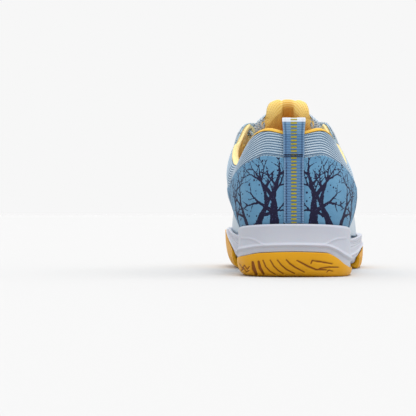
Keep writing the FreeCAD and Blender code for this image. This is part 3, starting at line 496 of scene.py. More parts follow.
def overlay(kind, side, ends, low, high, thick, material, slot, pitch, lip, relief=None, marks=None):
    """A film or tape laid on one side of the upper."""
    return patch(kind + "_" + side_name(side), (side * ends[0], side * ends[1]), low, high, constant(GAP),
                 constant(GAP + thick), material, slot, pitch, lip, relief, marks)


def circle(centre, across, other, radius, sides):
    """Points of a circle round a centre."""
    angles = [2 * math.pi * k / sides for k in range(sides)]
    return [centre + radius * (across * math.cos(a) + other * math.sin(a)) for a in angles]


def tube_faces(start, rows, sides):
    """The faces of a tube of rows x sides points, with its two ends."""
    faces = []
    for i in range(rows - 1):
        for k in range(sides):
            a, b = start + i * sides + k, start + i * sides + (k + 1) % sides
            faces.append((a, b, b + sides, a + sides))
    last = start + (rows - 1) * sides
    return faces + [tuple(range(start, start + sides))[::-1], tuple(range(last, last + sides))]


def tube(name, path, radius, material, body, nodes, sides):
    """A round tube along a path of points in millimetres. radius is a number or one per point."""
    radius = np.broadcast_to(radius, len(path))
    distance = path_lengths(path)
    tangent = unit(np.gradient(path, axis=0))
    across = unit(np.cross(tangent[0], [0.3, 0.2, 0.93]))
    points, marks = [], []
    for i, centre in enumerate(path):
        across = unit(across - tangent[i] * (across @ tangent[i]))
        points += circle(centre, across, np.cross(tangent[i], across), radius[i], sides)
        marks += [(distance[i], k / sides, 0.0) for k in range(sides)]
    return add_piece(name, np.array(points), tube_faces(0, len(path), sides), material, body, nodes,
                     {"flat": marks})


def stitches(name, points, normals, material, body="shoe", pitch=2.4, long=1.7, thick=0.26):
    """A row of thread stitches along a line of points in millimetres: each is a small bent capsule."""
    points, normals = np.asarray(points, float), np.asarray(normals, float)
    distance = path_lengths(points)

    def at(values, x):
        return np.stack([np.interp(x, distance, values[:, k]) for k in range(3)], -1)

    slices, sides = 5, 6
    vertices, faces, flats = [], [], []
    for start in np.arange(pitch / 2, distance[-1] - pitch / 2, pitch):
        faces += tube_faces(len(vertices), slices, sides)
        for i in range(slices):
            t = i / (slices - 1)
            x = start + (t - 0.5) * long
            up = unit(at(normals, x))
            ahead = unit(at(points, x + 0.2) - at(points, x - 0.2))
            swell = math.sqrt(max(1 - (2 * t - 1) ** 4, 0.05))
            centre = at(points, x) + up * thick * (0.75 * math.sin(math.pi * t) - 0.35)
            vertices += circle(centre, np.cross(up, ahead), up, thick * swell, sides)
            flats += [(x, k / sides, 0.0) for k in range(sides)]
    return add_piece(name, np.array(vertices), faces, material, body, (), {"flat": flats})


def skin_stitches(name, s, v, depth, material, **how):
    """Stitches along a line of the skin."""
    s, v = np.broadcast_arrays(np.asarray(s, float), np.asarray(v, float))
    return stitches(name, on_skin(s, v, depth), normal(s, v), material, **how)


# ---------------------------------------------------------------- materials
STUDIO = 0.74           # the share of its display value that a piece's own colour has, in this light
NAVY = (20, 17, 56)


def colour(red, green, blue, share=STUDIO):
    """A linear colour from display values of 0 to 255."""
    linear = [((c / 255 + 0.055) / 1.055) ** 2.4 if c > 10 else c / 255 / 12.92 for c in (red, green, blue)]
    return tuple(share * c for c in linear) + (1.0,)


class Graph:
    """A material's nodes. Each call adds a node and returns its output."""

    def __init__(self, name, **finish):
        self.material = bpy.data.materials.new(name)
        self.material.use_nodes = True
        self.nodes = self.material.node_tree.nodes
        self.links = self.material.node_tree.links
        self.surface = self.nodes["Principled BSDF"]
        self.surface.inputs["Specular IOR Level"].default_value = 0.28
        for key, value in finish.items():
            self.feed(self.surface.inputs[key.replace("_", " ")], value)

    def feed(self, socket, value):
        if isinstance(value, bpy.types.NodeSocket):
            self.links.new(value, socket)
        else:
            socket.default_value = value

    def add(self, kind, inputs=None, output=0, **settings):
        node = self.nodes.new(kind)
        for key, value in settings.items():
            setattr(node, key, value)
        for key, value in (inputs or {}).items():
            self.feed(node.inputs[key], value)
        return node.outputs[output]

    def math(self, operation, a, b=0.0):
        return self.add("ShaderNodeMath", {0: a, 1: b}, operation=operation)

    def plus(self, a, b):
        return self.math("ADD", a, b)

    def times(self, a, b):
        return self.math("MULTIPLY", a, b)

    def split(self, vector):
        node = self.nodes.new("ShaderNodeSeparateXYZ")
        self.feed(node.inputs[0], vector)
        return node.outputs[0], node.outputs[1], node.outputs[2]

    def mark(self, name):
        """A value kept on the piece's points."""
        return self.add("ShaderNodeAttribute", output="Fac", attribute_name=name)

    def flat(self):
        """Fabric coordinates in millimetres."""
        return self.add("ShaderNodeAttribute", output="Vector", attribute_name="flat")

    def solid(self):
        """Coordinates in millimetres in the piece's own space."""
        metres = self.add("ShaderNodeTexCoord", output="Object")
        return self.add("ShaderNodeVectorMath", {0: metres, 1: (1 / MM,) * 3}, operation="MULTIPLY")

    def noise(self, vector, size, detail=2.0, roughness=0.5):
        """Cloudy noise from 0 to 1 with features of a size in millimetres."""
        inputs = {"Vector": vector, "Scale": 1.0 / size, "Detail": detail, "Roughness": roughness}
        return self.add("ShaderNodeTexNoise", inputs, output="Fac")

    def cells(self, vector, size, randomness=1.0, output="Distance"):
        inputs = {"Vector": vector, "Scale": 1.0 / size, "Randomness": randomness}
        return self.add("ShaderNodeTexVoronoi", inputs, output=output)

    def ripple(self, x, pitch, shift=0.0):
        """A wave from 0 to 1 with a pitch in millimetres."""
        turn = self.plus(self.times(x, 2 * math.pi / pitch), shift)
        return self.plus(self.times(self.math("COSINE", turn), 0.5), 0.5)

    def rise(self, x, low, high):
        """0 below low, 1 above high, smooth in between. low may be above high."""
        ends = {0: x, 1: low, 2: high, 3: 0.0, 4: 1.0}
        return self.add("ShaderNodeMapRange", ends, interpolation_type="SMOOTHSTEP")

    def mix(self, share, a, b):
        node = self.nodes.new("ShaderNodeMix")
        node.data_type = "RGBA"
        self.feed(node.inputs["Factor"], share)
        self.feed(node.inputs[6], a)
        self.feed(node.inputs[7], b)
        return node.outputs[2]

    def finish(self, tint, roughness, height=None, depth=0.2):
        """Sets the surface. height is 0 to 1 and depth its relief in millimetres."""
        self.feed(self.surface.inputs["Base Color"], tint)
        self.feed(self.surface.inputs["Roughness"], roughness)
        if height is not None:
            relief = {"Height": height, "Distance": depth * MM, "Strength": 1.0}
            self.feed(self.surface.inputs["Normal"], self.add("ShaderNodeBump", relief, output="Normal"))
        return self.material

    def stagger(self, x, y, pitch_x, pitch_y):
        """Two waves whose rows are shifted by half a pitch, as in a knitted mesh: x wave and y wave."""
        row = self.math("FLOOR", self.times(y, 1.0 / pitch_y))
        shifted = self.plus(x, self.times(row, pitch_x / 2))
        return self.ripple(shifted, pitch_x), self.ripple(y, pitch_y, math.pi)


def make_collar_mesh():
    """Ribbed knit with small loops: painted highlights on the ribs, in broad pale patches, and painted shade
    in the darker valleys between them. flat's y is the distance from the seam.
    """
    g = Graph("ribbed_knit", Sheen_Weight=0.09, Sheen_Roughness=0.5)
    x, y = g.split(g.flat())[:2]
    rib = g.mark("rib")
    loop = g.stagger(x, y, 1.5, RIB_PITCH)[0]
    cloud = g.noise(g.solid(), 14.0, 3.0)
    # pale is a painted highlight for the ribs' crests, brighter in broad patches; the darker blue is painted
    # shade in the valleys
    pale = g.mix(cloud, colour(166, 198, 220, 0.85), colour(230, 240, 248, 0.95))
    tint = g.mix(g.rise(rib, 0.15, 0.75), colour(76, 120, 156), pale)
    tint = g.mix(g.times(g.rise(loop, 0.45, 0.0), 0.55), tint, colour(84, 130, 168))
    fine = g.noise(g.flat(), 0.35, 2.0)
    tint = g.mix(g.times(g.rise(fine, 0.45, 0.8), 0.35), tint, colour(236, 243, 248))
    return g.finish(tint, 0.72, g.plus(g.times(loop, 0.8), g.times(fine, 0.4)), 0.22)


def make_printed_mesh():
    """Fine mesh with dark ink: the mark "ink" is the distance from a drawn stroke in millimetres."""
    g = Graph("printed_mesh", Sheen_Weight=0.03)
    flat = g.flat()
    x, y = g.split(flat)[:2]
    hole, row = g.stagger(x, y, 0.95, 0.8)
    weave = g.times(hole, row)
    cloud = g.noise(flat, 9.0, 3.0)
    base = g.mix(cloud, colour(84, 142, 184), colour(122, 178, 214))
    base = g.mix(g.times(g.rise(weave, 0.45, 0.9), 0.55), base, colour(62, 112, 152))
    ragged = g.plus(g.noise(flat, 1.1, 3.0, 0.65), -0.5)
    fringe = g.plus(g.noise(flat, 3.2, 2.0), -0.5)
    distance = g.plus(g.mark("ink"), g.plus(g.times(ragged, 1.35), g.times(fringe, 0.7)))
    ink = g.rise(distance, 0.10, -0.10)
    dot = g.cells(flat, 2.1)
    chance = g.split(g.cells(flat, 2.1, output="Color"))[0]
    size = g.plus(g.times(chance, 0.70), -0.32)
    dots = g.rise(g.plus(dot, g.times(size, -1.0)), 0.03, -0.03)
    ink = g.math("MAXIMUM", ink, dots)
    pinholes = g.times(g.rise(g.cells(flat, 1.3), 0.24, 0.14), 0.6)
    dark = g.mix(pinholes, colour(*NAVY), colour(80, 88, 140))
    tint = g.mix(ink, base, dark)
    return g.finish(tint, g.plus(0.62, g.times(ink, 0.15)), weave, 0.16)


def make_webbing(name, body_tint, deep_tint, crown=0.0):
    """Ribbed tape: flat's x is the place across it and y the place along it, both in millimetres.
    crown is how strong the painted highlight over its bend is."""
    g = Graph(name, Sheen_Weight=0.10)
    flat = g.flat()
    x, y = g.split(flat)[:2]
    side = g.math("ABSOLUTE", x)
    rib = g.ripple(y, WEAVE_PITCH)
    yarn = g.ripple(x, 0.55)
    tint = g.mix(g.rise(rib, 0.1, 0.75), deep_tint, body_tint)
    tint = g.mix(g.times(g.noise(flat, 1.2, 3.0), 0.35), tint, colour(150, 190, 220))
    edge = g.rise(side, WEBBING_HALF - 1.1, WEBBING_HALF - 0.6)
    tint = g.mix(g.times(edge, 0.2), tint, colour(188, 210, 228))
    beside = g.times(g.rise(side, WEBBING_HALF - 2.3, WEBBING_HALF - 1.9),
                     g.rise(side, WEBBING_HALF - 0.9, WEBBING_HALF - 1.2))
    tint = g.mix(g.times(beside, 0.6), tint, colour(50, 84, 128))
    band, row = g.rise(side, 2.0, 1.6), g.ripple(y, DASH_PITCH)
    dash = g.times(band, g.rise(row, 0.42, 0.58))
    gap = g.times(band, g.rise(row, 0.5, 0.3))
    tint = g.mix(g.times(gap, 0.45), tint, colour(48, 84, 128))
    if crown:
        # painted highlight where the loop bends over and faces the light
        bend_highlight = g.times(g.rise(y, 7.4, 8.6), g.rise(y, 19.0, 15.0))
        tint = g.mix(g.times(bend_highlight, crown), tint, colour(238, 242, 250, 0.95))
    olive = g.mix(g.noise(flat, 0.6, 2.0), colour(158, 150, 20), colour(206, 190, 36))
    tint = g.mix(dash, tint, olive)
    relief = g.plus(g.times(rib, 0.7), g.plus(g.times(yarn, 0.2), g.times(dash, 0.5)))
    return g.finish(tint, 0.6, relief, 0.28)


def make_lining(name, low, high):
    """Yellow spacer mesh with rows of small holes, with painted shade, a deeper orange, inside the shoe."""
    g = Graph(name, Sheen_Weight=0.12, Sheen_Tint=colour(255, 236, 180))
    x, y = g.split(g.flat())[:2]
    hole, row = g.stagger(x, y, 1.5, 1.15)
    weave = g.times(hole, row)
    cloud = g.noise(g.solid(), 16.0, 2.0)
    tint = g.mix(cloud, low, high)
    # painted shade: a deeper orange where the lining lies in shade inside the shoe
    tint = g.mix(g.mark("inside_shade"), tint, colour(240, 160, 10))
    tint = g.mix(g.times(g.rise(weave, 0.5, 0.95), 0.4), tint, colour(206, 140, 24))
    pale = g.mix(0.4, tint, colour(255, 244, 206, 0.95))
    tint = g.mix(g.times(g.rise(row, 0.6, 0.1), 0.5), tint, pale)
    return g.finish(tint, 0.8, g.times(weave, -1.0), 0.22)


def make_piping():
    """Fine yellow binding, knitted in narrow wales."""
    g = Graph("yellow_binding", Sheen_Weight=0.10)
    flat = g.flat()
    x = g.split(flat)[0]
    wale = g.ripple(x, 0.8)
    tint = g.mix(g.noise(flat, 5.0), colour(244, 184, 50, 0.9), colour(255, 210, 96, 0.9))
    # painted light: the binding turns pale cream towards its ends, where it lies lit in the collar's front
    # dips
    tint = g.mix(g.rise(g.math("ABSOLUTE", x), 62.0, 84.0), tint, colour(255, 234, 168, 0.95))
    tint = g.mix(g.times(g.rise(wale, 0.4, 0.0), 0.35), tint, colour(214, 150, 24))
    return g.finish(tint, 0.7, wale, 0.15)


def make_air_mesh():
    """Light open mesh of the forefoot: small oval holes over a pale backing."""
    g = Graph("pale_air_mesh", Sheen_Weight=0.07)
    flat = g.flat()
    x, y = g.split(flat)[:2]
    hole, row = g.stagger(x, y, 2.3, 1.6)
    pore = g.rise(g.times(hole, row), 0.42, 0.72)
    yarn = g.times(g.ripple(x, 0.46), g.ripple(y, 0.4))
    cloud = g.noise(flat, 22.0, 2.0)
    tint = g.mix(cloud, colour(150, 188, 214), colour(196, 219, 235))
    tint = g.mix(g.times(yarn, 0.3), tint, colour(224, 236, 245))
    tint = g.mix(g.times(pore, 0.75), tint, colour(92, 132, 168))
    return g.finish(tint, 0.7, g.plus(g.times(pore, -1.0), g.times(yarn, 0.25)), 0.4)


def make_tongue_mesh():
    """Coarse pale mesh with diagonal cells."""
    g = Graph("pale_tongue_mesh", Sheen_Weight=0.09)
    x, y = g.split(g.flat())[:2]
    first = g.ripple(g.plus(x, y), 2.6)
    second = g.ripple(g.plus(x, g.times(y, -1.0)), 2.6)
    cell = g.times(first, second)
    tint = g.mix(g.rise(cell, 0.25, 0.7), colour(206, 223, 238), colour(98, 146, 186))
    tint = g.mix(g.times(g.noise(g.flat(), 0.5), 0.4), tint, colour(232, 240, 247))
    return g.finish(tint, 0.72, g.times(cell, -1.0), 0.45)


def make_film(name, dark, light, grain=0.05):
    """Smooth moulded film with a faint hide grain and scuffed edges."""
    g = Graph(name, Coat_Weight=0.12, Coat_Roughness=0.35)
    flat = g.flat()
    cloud = g.noise(flat, 26.0, 2.0)
    crease = g.cells(flat, 0.7)
    tint = g.mix(cloud, dark, light)
    scuff = g.rise(g.noise(flat, 3.0, 4.0, 0.7), 0.62, 0.8)
    tint = g.mix(g.times(scuff, 0.2), tint, colour(236, 241, 246))
    return g.finish(tint, g.plus(0.34, g.times(scuff, 0.2)), crease, grain)


def make_foam(name, low, high):
    """Moulded foam: a skin with fine grain, faint flow marks and a little dust near the floor."""
    g = Graph(name, Subsurface_Weight=0.08, Subsurface_Scale=0.003)
    p = g.solid()
    z = g.split(p)[2]
    grain = g.noise(p, 0.55, 3.0, 0.6)
    cloud = g.noise(p, 30.0, 2.0)
    tint = g.mix(cloud, low, high)
    dust = g.times(g.rise(z, 16.0, 0.0), g.rise(g.noise(p, 6.0, 4.0, 0.65), 0.5, 0.8))
    tint = g.mix(g.times(dust, 0.18), tint, colour(150, 148, 150))
    return g.finish(tint, g.plus(0.46, g.times(grain, 0.12)), grain, 0.06)


def make_rubber():
    """Matt gum rubber, with painted shade in its grooves, and duller where it is scuffed."""
    g = Graph("yellow_rubber")
    p = g.solid()
    z = g.split(p)[2]
    grain = g.noise(p, 0.4, 3.0, 0.6)
    cloud = g.noise(p, 18.0, 3.0)
    tint = g.mix(cloud, colour(236, 164, 4), colour(250, 186, 16))
    # painted shade: darker orange in the grooves
    tint = g.mix(g.rise(g.mark("groove"), 0.1, 0.9), tint, colour(150, 84, 2))
    scuff = g.times(g.rise(z, 5.0, 0.0), g.rise(g.noise(p, 2.4, 4.0, 0.7), 0.48, 0.75))
    tint = g.mix(g.times(scuff, 0.35), tint, colour(196, 150, 60))
    return g.finish(tint, g.plus(0.42, g.times(g.plus(grain, scuff), 0.16)), grain, 0.07)


def make_thread(name, tint, dark):
    """Twisted sewing thread."""
    g = Graph(name, Sheen_Weight=0.07)
    x, y = g.split(g.flat())[:2]
    twist = g.ripple(g.plus(x, g.times(y, 0.5)), 0.5)
    return g.finish(g.mix(twist, dark, tint), 0.55, twist, 0.08)


def make_lace():
    """Braided cord: two sets of crossing yarns. flat's x runs along it and y once round it."""
    g = Graph("braided_lace", Sheen_Weight=0.10)
    x, y = g.split(g.flat())[:2]
    turn = g.times(y, 4.0)
    one = g.ripple(g.plus(g.times(x, 0.55), turn), 1.0)
    two = g.ripple(g.plus(g.times(x, 0.55), g.times(turn, -1.0)), 1.0)
    weave = g.math("MAXIMUM", one, two)
    tint = g.mix(g.rise(weave, 0.45, 0.95), colour(120, 160, 192), colour(214, 229, 240))
    fleck = g.times(g.rise(one, 0.82, 0.92), g.rise(two, 0.3, 0.6))
    tint = g.mix(fleck, tint, colour(236, 190, 60))
    return g.finish(tint, 0.65, weave, 0.3)


def make_simple(name, dark, light, size, relief, roughness, **finish):
    """A plain material with grain of one size: board, foam, gel or moulded plastic."""
    g = Graph(name, **finish)
    p = g.solid()
    grain = g.noise(p, size, 4.0, 0.6)
    cloud = g.noise(p, size * 12, 2.0)
    tint = g.mix(g.plus(g.times(grain, 0.5), g.times(cloud, 0.5)), dark, light)
    return g.finish(tint, g.plus(roughness, g.times(grain, 0.1)), grain, relief)


def make_sock():
    """The insole's top cloth: a fine yellow knit with rows of small vents in the forefoot."""
    g = Graph("sock_cloth", Sheen_Weight=0.10)
    p = g.solid()
    x, y = g.split(p)[:2]
    knit = g.times(g.ripple(x, 1.1), g.ripple(y, 0.8))
    vent = g.times(g.rise(g.cells(p, 6.0, 0.0), 0.22, 0.14), g.rise(y, 5.0, 12.0))
    tint = g.mix(g.noise(p, 20.0), colour(242, 190, 66), colour(252, 212, 108))
    tint = g.mix(g.times(knit, 0.3), tint, colour(214, 150, 30))
    tint = g.mix(g.times(vent, 0.7), tint, colour(120, 84, 20))
    return g.finish(tint, 0.8, g.plus(g.times(knit, 0.4), g.times(vent, -1.0)), 0.4)


RIB_PITCH = 1.7         # of the collar's ribs
WEAVE_PITCH = 1.1       # of the webbing's cross ribs
WEBBING_HALF = STRIP_WIDTH / 2
DASH_PITCH = 2.4

collar_mesh = make_collar_mesh()
printed_mesh = make_printed_mesh()
strip_webbing = make_webbing("blue_webbing", colour(92, 146, 196), colour(44, 88, 138))
# The loop's tape is the strip's webbing, painted paler with the light that falls on the standing loop, with a
# painted highlight over its bend
lit_loop_webbing = make_webbing("blue_loop_webbing", colour(132, 172, 206), colour(84, 134, 180), 0.75)
lining_mesh = make_lining("yellow_spacer_mesh", colour(246, 204, 92, 0.92), colour(253, 222, 136, 0.92))
# The throat backing's copy of the yellow spacer mesh, painted paler as a lit lining where the backing sits in
# shade
lit_lining_mesh = make_lining("lit_spacer_mesh", colour(255, 232, 160, 1.0), colour(255, 240, 190, 1.0))
binding = make_piping()
air_mesh = make_air_mesh()
tongue_mesh = make_tongue_mesh()
pale_film = make_film("pale_blue_film", colour(168, 194, 214), colour(208, 222, 234))
white_film = make_film("white_film", colour(206, 217, 228), colour(232, 237, 243))
navy_webbing = make_webbing("navy_webbing", colour(52, 92, 150), colour(28, 44, 92))
# The foam is white; its colours are painted darker grey with the shade that falls on the heel's back
white_foam = make_foam("white_foam", colour(203, 207, 221), colour(216, 219, 229))
rubber = make_rubber()
navy_thread = make_thread("navy_thread", colour(48, 48, 92), colour(20, 20, 44))
pale_thread = make_thread("pale_thread", colour(222, 232, 242), colour(140, 168, 194))
braid = make_lace()
sock_cloth = make_sock()
board = make_simple("fibre_board", colour(196, 180, 150), colour(226, 214, 188), 0.8, 0.12, 0.85)
counter_board = make_simple("counter_board", colour(170, 172, 178), colour(200, 202, 208), 1.0, 0.1, 0.7)
padding = make_simple("open_cell_foam", colour(214, 196, 150), colour(242, 232, 200), 0.6, 0.3, 0.95)
sock_foam = make_simple("sock_foam", colour(86, 128, 168), colour(120, 160, 196), 0.7, 0.25, 0.9)
gel = make_simple("cushion_gel", colour(70, 140, 190), colour(110, 176, 214), 5.0, 0.02, 0.2,
                  Transmission_Weight=0.3, Coat_Weight=0.4)
shank_plastic = make_simple("shank_plastic", colour(40, 44, 66), colour(60, 64, 90), 0.5, 0.06, 0.38)
tip_plastic = make_simple("lace_tip_plastic", colour(204, 220, 234), colour(232, 240, 247), 2.0, 0.03, 0.2,
                          Coat_Weight=0.6)


# ---------------------------------------------------------------- the upper's edges
def mirrored(knots):
    """An edge's height at each station, the same on both sides of the shoe."""
    curve = knots_curve(knots)
    return lambda s: curve(np.abs(s))


# The collar's seam, then the edges of the eyestay, the waist's film and the mudguard
seam = mirrored([(0, 0.765), (1.0, 0.758), (2, 0.705), (3.2, 0.66), (4.3, 0.645), (5.0, 0.71), (5.6, 0.83)])
eyestay_low = mirrored([(6.15, 0.80), (7.0, 0.80), (8.5, 0.78), (9.7, 0.84)])
waist_top = mirrored([(4.5, 0.52), (5.5, 0.60), (7.0, 0.55), (8.9, 0.30)])
guard_top = mirrored([(9.0, 0.36), (9.8, 0.44), (10.6, 0.40)])


def quarter_edge(s):
    """The quarter's upper edge: the collar seam, then a short rise to the throat."""
    low = seam(COLLAR_END)
    climb = low + (0.995 - low) * smooth((np.abs(s) - COLLAR_END) / 0.4)
    return np.where(np.abs(s) < COLLAR_END, seam(s), climb)


def foam_depth(s, v):
    """The room between the shell and the lining."""
    rise = smooth((v - 0.46) / 0.26)
    fall = np.sqrt(np.clip((1.0 - v) / 0.17, 0.0, 1.0))
    ends = smooth((COLLAR_END - np.abs(s)) / 1.1)
    return FOAM_BASE + FOAM_SWELL * rise * fall * ends


def lining_face(s, v):
    """The lining's depth on the foam's side; lining_back is its side towards the foot."""
    return -(SHEET + 2 * GAP + foam_depth(s, v))


def lining_back(s, v):
    return lining_face(s, v) - LINING


def toe_room(s, v):
    """The outer face of the vamp's lining: it makes room for the stiffener over the toes."""
    return -(SHEET + GAP + (COUNTER + GAP) * smooth((np.abs(s) - 9.9) / 0.5))


def throat_edge(s):
    """The vamp's upper edge along the throat, up to the ridge."""
    return 0.995 + 0.005 * smooth((np.abs(s) - 9.5) / 0.5)


def lining_edge(s):
    """The upper edge of the vamp's lining."""
    return 0.80 + 0.20 * smooth((np.abs(s) - 9.15) / 0.85)


# ---------------------------------------------------------------- the collar
def seam_distance(s, v):
    """Millimetres up the skin from the collar's seam."""
    return lookup(UP, s, v) - lookup(UP, s, seam(s))


def build_collar():
    """The ribbed collar mesh, its padding, its lining and the bound edge."""
    def rib(s, v):
        return 0.5 + 0.5 * np.cos(2 * np.pi * seam_distance(s, v) / RIB_PITCH)

    outer, inner, s, v = patch_grids((-COLLAR_END + 0.02, COLLAR_END - 0.02), lambda s: seam(s) + 0.002,
                                     constant(EDGE_TOP), constant(-SHEET), constant(-0.35), (0.9, 0.24),
                                     relief=lambda s, v: 0.55 * rib(s, v) ** 0.8)
    flat = flat_of(s, v)
    flat[..., 1] = seam_distance(s, v)
    shell("collar_panel", outer, inner, collar_mesh, "shoe", ["collar_panel"], "ribbed_mesh",
          {"flat": flat, "rib": rib(s, v)})
    # painted shade on the collar's lining, deeper lower down inside the shoe
    inside_shade = {"inside_shade": lambda s, v: 1 - smooth((v - 0.45) / 0.5)}
    patch("collar_lining", (-6.35, 6.35), constant(0.0), constant(EDGE_TOP), lining_face, lining_back,
          lining_mesh, "yellow_lining", (1.6, 1.2), marks=inside_shade)
    foam = patch("collar_foam", (-5.3, 5.3), constant(0.43), constant(EDGE_TOP - 0.01),
                 lambda s, v: -(SHEET + GAP + foam_depth(s, v)), constant(-(SHEET + GAP)), padding, "padding",
                 (2.5, 2.0), lip=1.2)
    build_binding()


ROLL_END = 6.65


def build_binding():
    """The rolled binding along the collar's edge: a fat crowned strip from the outer mesh to the lining.
    Past the collar's padding it goes on inside the throat's edge."""
    stations = np.linspace(-ROLL_END, ROLL_END, 300)[:, None]
    turn = np.linspace(0, 1, 15)[None, :]
    within = smooth((np.abs(stations) - COLLAR_END + 0.1) / 0.25)
    outside = on_skin(stations, EDGE_TOP + 0.004 + 0 * turn, -0.15 - (SHEET + 0.5) * within + 0 * turn)
    inside = on_skin(stations, EDGE_TOP + 0.002 + 0 * turn, lining_back(stations, EDGE_TOP) + 0 * turn)
    middle = (outside + inside) / 2
    half = np.linalg.norm(outside - inside, axis=-1, keepdims=True) / 2
    out = unit(outside - inside)
    up = unit(on_skin(stations, 0.999 + 0 * turn, -1.5) - middle)
    up = unit(up - out * np.sum(up * out, axis=-1, keepdims=True))
    angle = (np.pi * turn)[..., None]
    crest = np.linalg.norm(on_skin(stations, 1.0 + 0 * turn, -1.5) - middle, axis=-1, keepdims=True)
    wale = 0.06 * np.cos(2 * np.pi * lookup(ALONG, stations, 1.0) / 1.2)[..., None]
    height = np.clip(crest, 1.2, 2.4) + wale
    crown = middle + out * np.cos(angle) * half * 1.04 + up * (np.sin(angle) * height)
    base = middle + out * np.cos(angle) * half * 0.9 + up * (np.sin(angle) * 0.3)
    along = lookup(ALONG, stations, 1.0)
    flat = np.stack([along + 0 * turn, turn * 6 + 0 * along, 0 * turn * along], -1)
    shell("collar_piping", crown, base, binding, "shoe", ["collar_piping"], "yellow_lining", {"flat": flat})


# ---------------------------------------------------------------- the printed heel panels
# Trunks of the printed branches: millimetres round the heel, height, lean in degrees, half width and length
TRUNKS = [(13.0, 32.0, 4.0, 3.5, 21.0), (26.0, 32.0, -24.0, 2.7, 20.0), (34.0, 32.0, 26.0, 2.2, 17.0),
          (56.0, 32.0, -14.0, 2.4, 17.0), (71.0, 31.0, 12.0, 2.0, 15.0), (88.0, 30.0, -8.0, 1.7, 13.0)]
PRINT_END = 4.4


def grow(x, z, lean, half, length, level, strokes):
    """Adds a branch of four bends to strokes, and the twigs that leave its middle and its tip."""
    points = [(x, z, half)]
    for k in range(4):
        lean += (11 if (k + level) % 2 else -9)
        x += length / 4 * math.sin(math.radians(lean))
        z += length / 4 * math.cos(math.radians(lean))
        points.append((x, z, half * (1 - 0.14 * (k + 1))))
    strokes.append(points)
    if level < 4:
        middle = points[2]
        side = 1 if (level + len(strokes)) % 2 else -1
        grow(middle[0], middle[1], lean + 52 * side, half * 0.50, length * 0.6, level + 2, strokes)
        grow(x, z, lean - 31 * side, half * 0.52, length * 0.72, level + 1, strokes)
        grow(x, z, lean + 24 * side, half * 0.46, length * 0.66, level + 1, strokes)


def stroke_distance(x, z, strokes):
    """Distance from the nearest stroke's edge, negative inside. Each stroke lists x, z and half width."""
    best = np.full(np.shape(x), 9.0)
    for stroke in strokes:
        for (xa, za, ra), (xb, zb, rb) in zip(stroke, stroke[1:]):
            dx, dz = xb - xa, zb - za
            t = np.clip(((x - xa) * dx + (z - za) * dz) / (dx * dx + dz * dz), 0, 1)
            gap = np.hypot(x - xa - t * dx, z - za - t * dz) - (ra + (rb - ra) * t)
            best = np.minimum(best, gap)
    return best


def build_heel_print(side):
    """The printed fabric over the heel half of a quarter."""
    strokes = []
    for x, z, lean, half, length in TRUNKS:
        grow(x, z, lean, half, length, 0, strokes)

    def ink(s, v):
        return stroke_distance(np.abs(lookup(ALONG, s, v)), skin(s, v)[..., 2], strokes)

    overlay("heel_print", side, (0.05, PRINT_END), constant(0.03), lambda s: seam(s) - 0.012, OVERLAY,
            printed_mesh, "printed_film", (0.42, 0.42), 0.5, marks={"ink": ink})


# ---------------------------------------------------------------- the quarters, overlays and vamp
def eyelet_distance(s, v):
    """Millimetres from the nearest lace hole."""
    here = skin(s, v)
    best = np.full(np.shape(here)[:-1], 99.0)
    for station in EYELETS:
        for side in SIDES:
            best = np.minimum(best, np.linalg.norm(here - skin(side * station, EYELET_HEIGHT), axis=-1))
    return best


def punch(piece, side):
    """Cuts the lace holes through a piece."""
    vertices, faces, rim = [], [], 28
    for station in EYELETS:
        faces += tube_faces(len(vertices), 2, rim)
        n = normal(side * station, EYELET_HEIGHT)
        across = unit(np.cross(n, [0.2, 0.9, 0.1]))
        for depth in (-5.0, 5.0):
            centre = on_skin(side * station, EYELET_HEIGHT, depth)
            vertices += circle(centre, across, np.cross(n, across), EYELET_RADIUS, rim)
    mesh = bpy.data.meshes.new("punch")
    mesh.from_pydata(place(np.array(vertices)).tolist(), [], faces)
    turn_outwards(mesh)
    tool = add_object("punch", mesh)
    cut = piece.modifiers.new("holes", "BOOLEAN")
    cut.object, cut.operation, cut.solver = tool, "DIFFERENCE", "MANIFOLD"
    apply_modifiers(piece)
    bpy.data.objects.remove(tool)


def apply_modifiers(piece):
    """Keeps the mesh that the modifiers make, and takes them off."""
    bpy.context.view_layer.update()
    made = bpy.data.meshes.new_from_object(piece.evaluated_get(bpy.context.evaluated_depsgraph_get()))
    piece.modifiers.clear()
    piece.data = made
    made.polygons.foreach_set("use_smooth", [True] * len(made.polygons))


def build_quarter(side):
    """The outer mesh from the back seam to the vamp, with the lace holes. Its seam's stitching is made with
    the vamp.
    """
    name = "quarter_" + side_name(side)
    piece = patch(name, (side * 0.05, side * QUARTER_END), constant(0.0), quarter_edge, constant(-SHEET),
                  constant(0.0), air_mesh, "pale_mesh", (1.3, 1.3), lip=0.5)
    punch(piece, side)


def build_eyestay(side):
    """The smooth film round the lace holes, raised a little at each hole, with a double row of stitches."""
    def raised(s, v):
        return 0.35 * np.exp(-((eyelet_distance(s, v) - 3.4) / 0.55) ** 2)

    piece = overlay("eyestay", side, (6.15, 9.7), eyestay_low, constant(THROAT_TOP),
                    FILM, white_film, "pale_film", (0.7, 0.7), 0.8, raised)
    punch(piece, side)
    s = side * np.linspace(6.25, 9.6, 90)
    for k, rise in enumerate((0.012, 0.034)):
        skin_stitches("eyestay_stitches_%s_%d" % (side_name(side), k + 1), s, eyestay_low(s) + rise,
                      GAP + FILM + 0.1, pale_thread)


def build_throat_backing(side):
    """The yellow mesh glued to the inside of the throat, round the lace holes."""
    name = "throat_backing_" + side_name(side)
    # painted light: the paler, lit copy of the yellow lining mesh, with no painted shade
    piece = patch(name, (side * 5.75, side * 9.2), constant(0.70), constant(THROAT_TOP),
                  constant(-SHEET - 0.45), constant(-SHEET - 0.06), lit_lining_mesh, "yellow_lining", (1.4, 1.2),
                  lip=0.4, marks={"inside_shade": constant(0.0)}, nodes=())
    punch(piece, side)


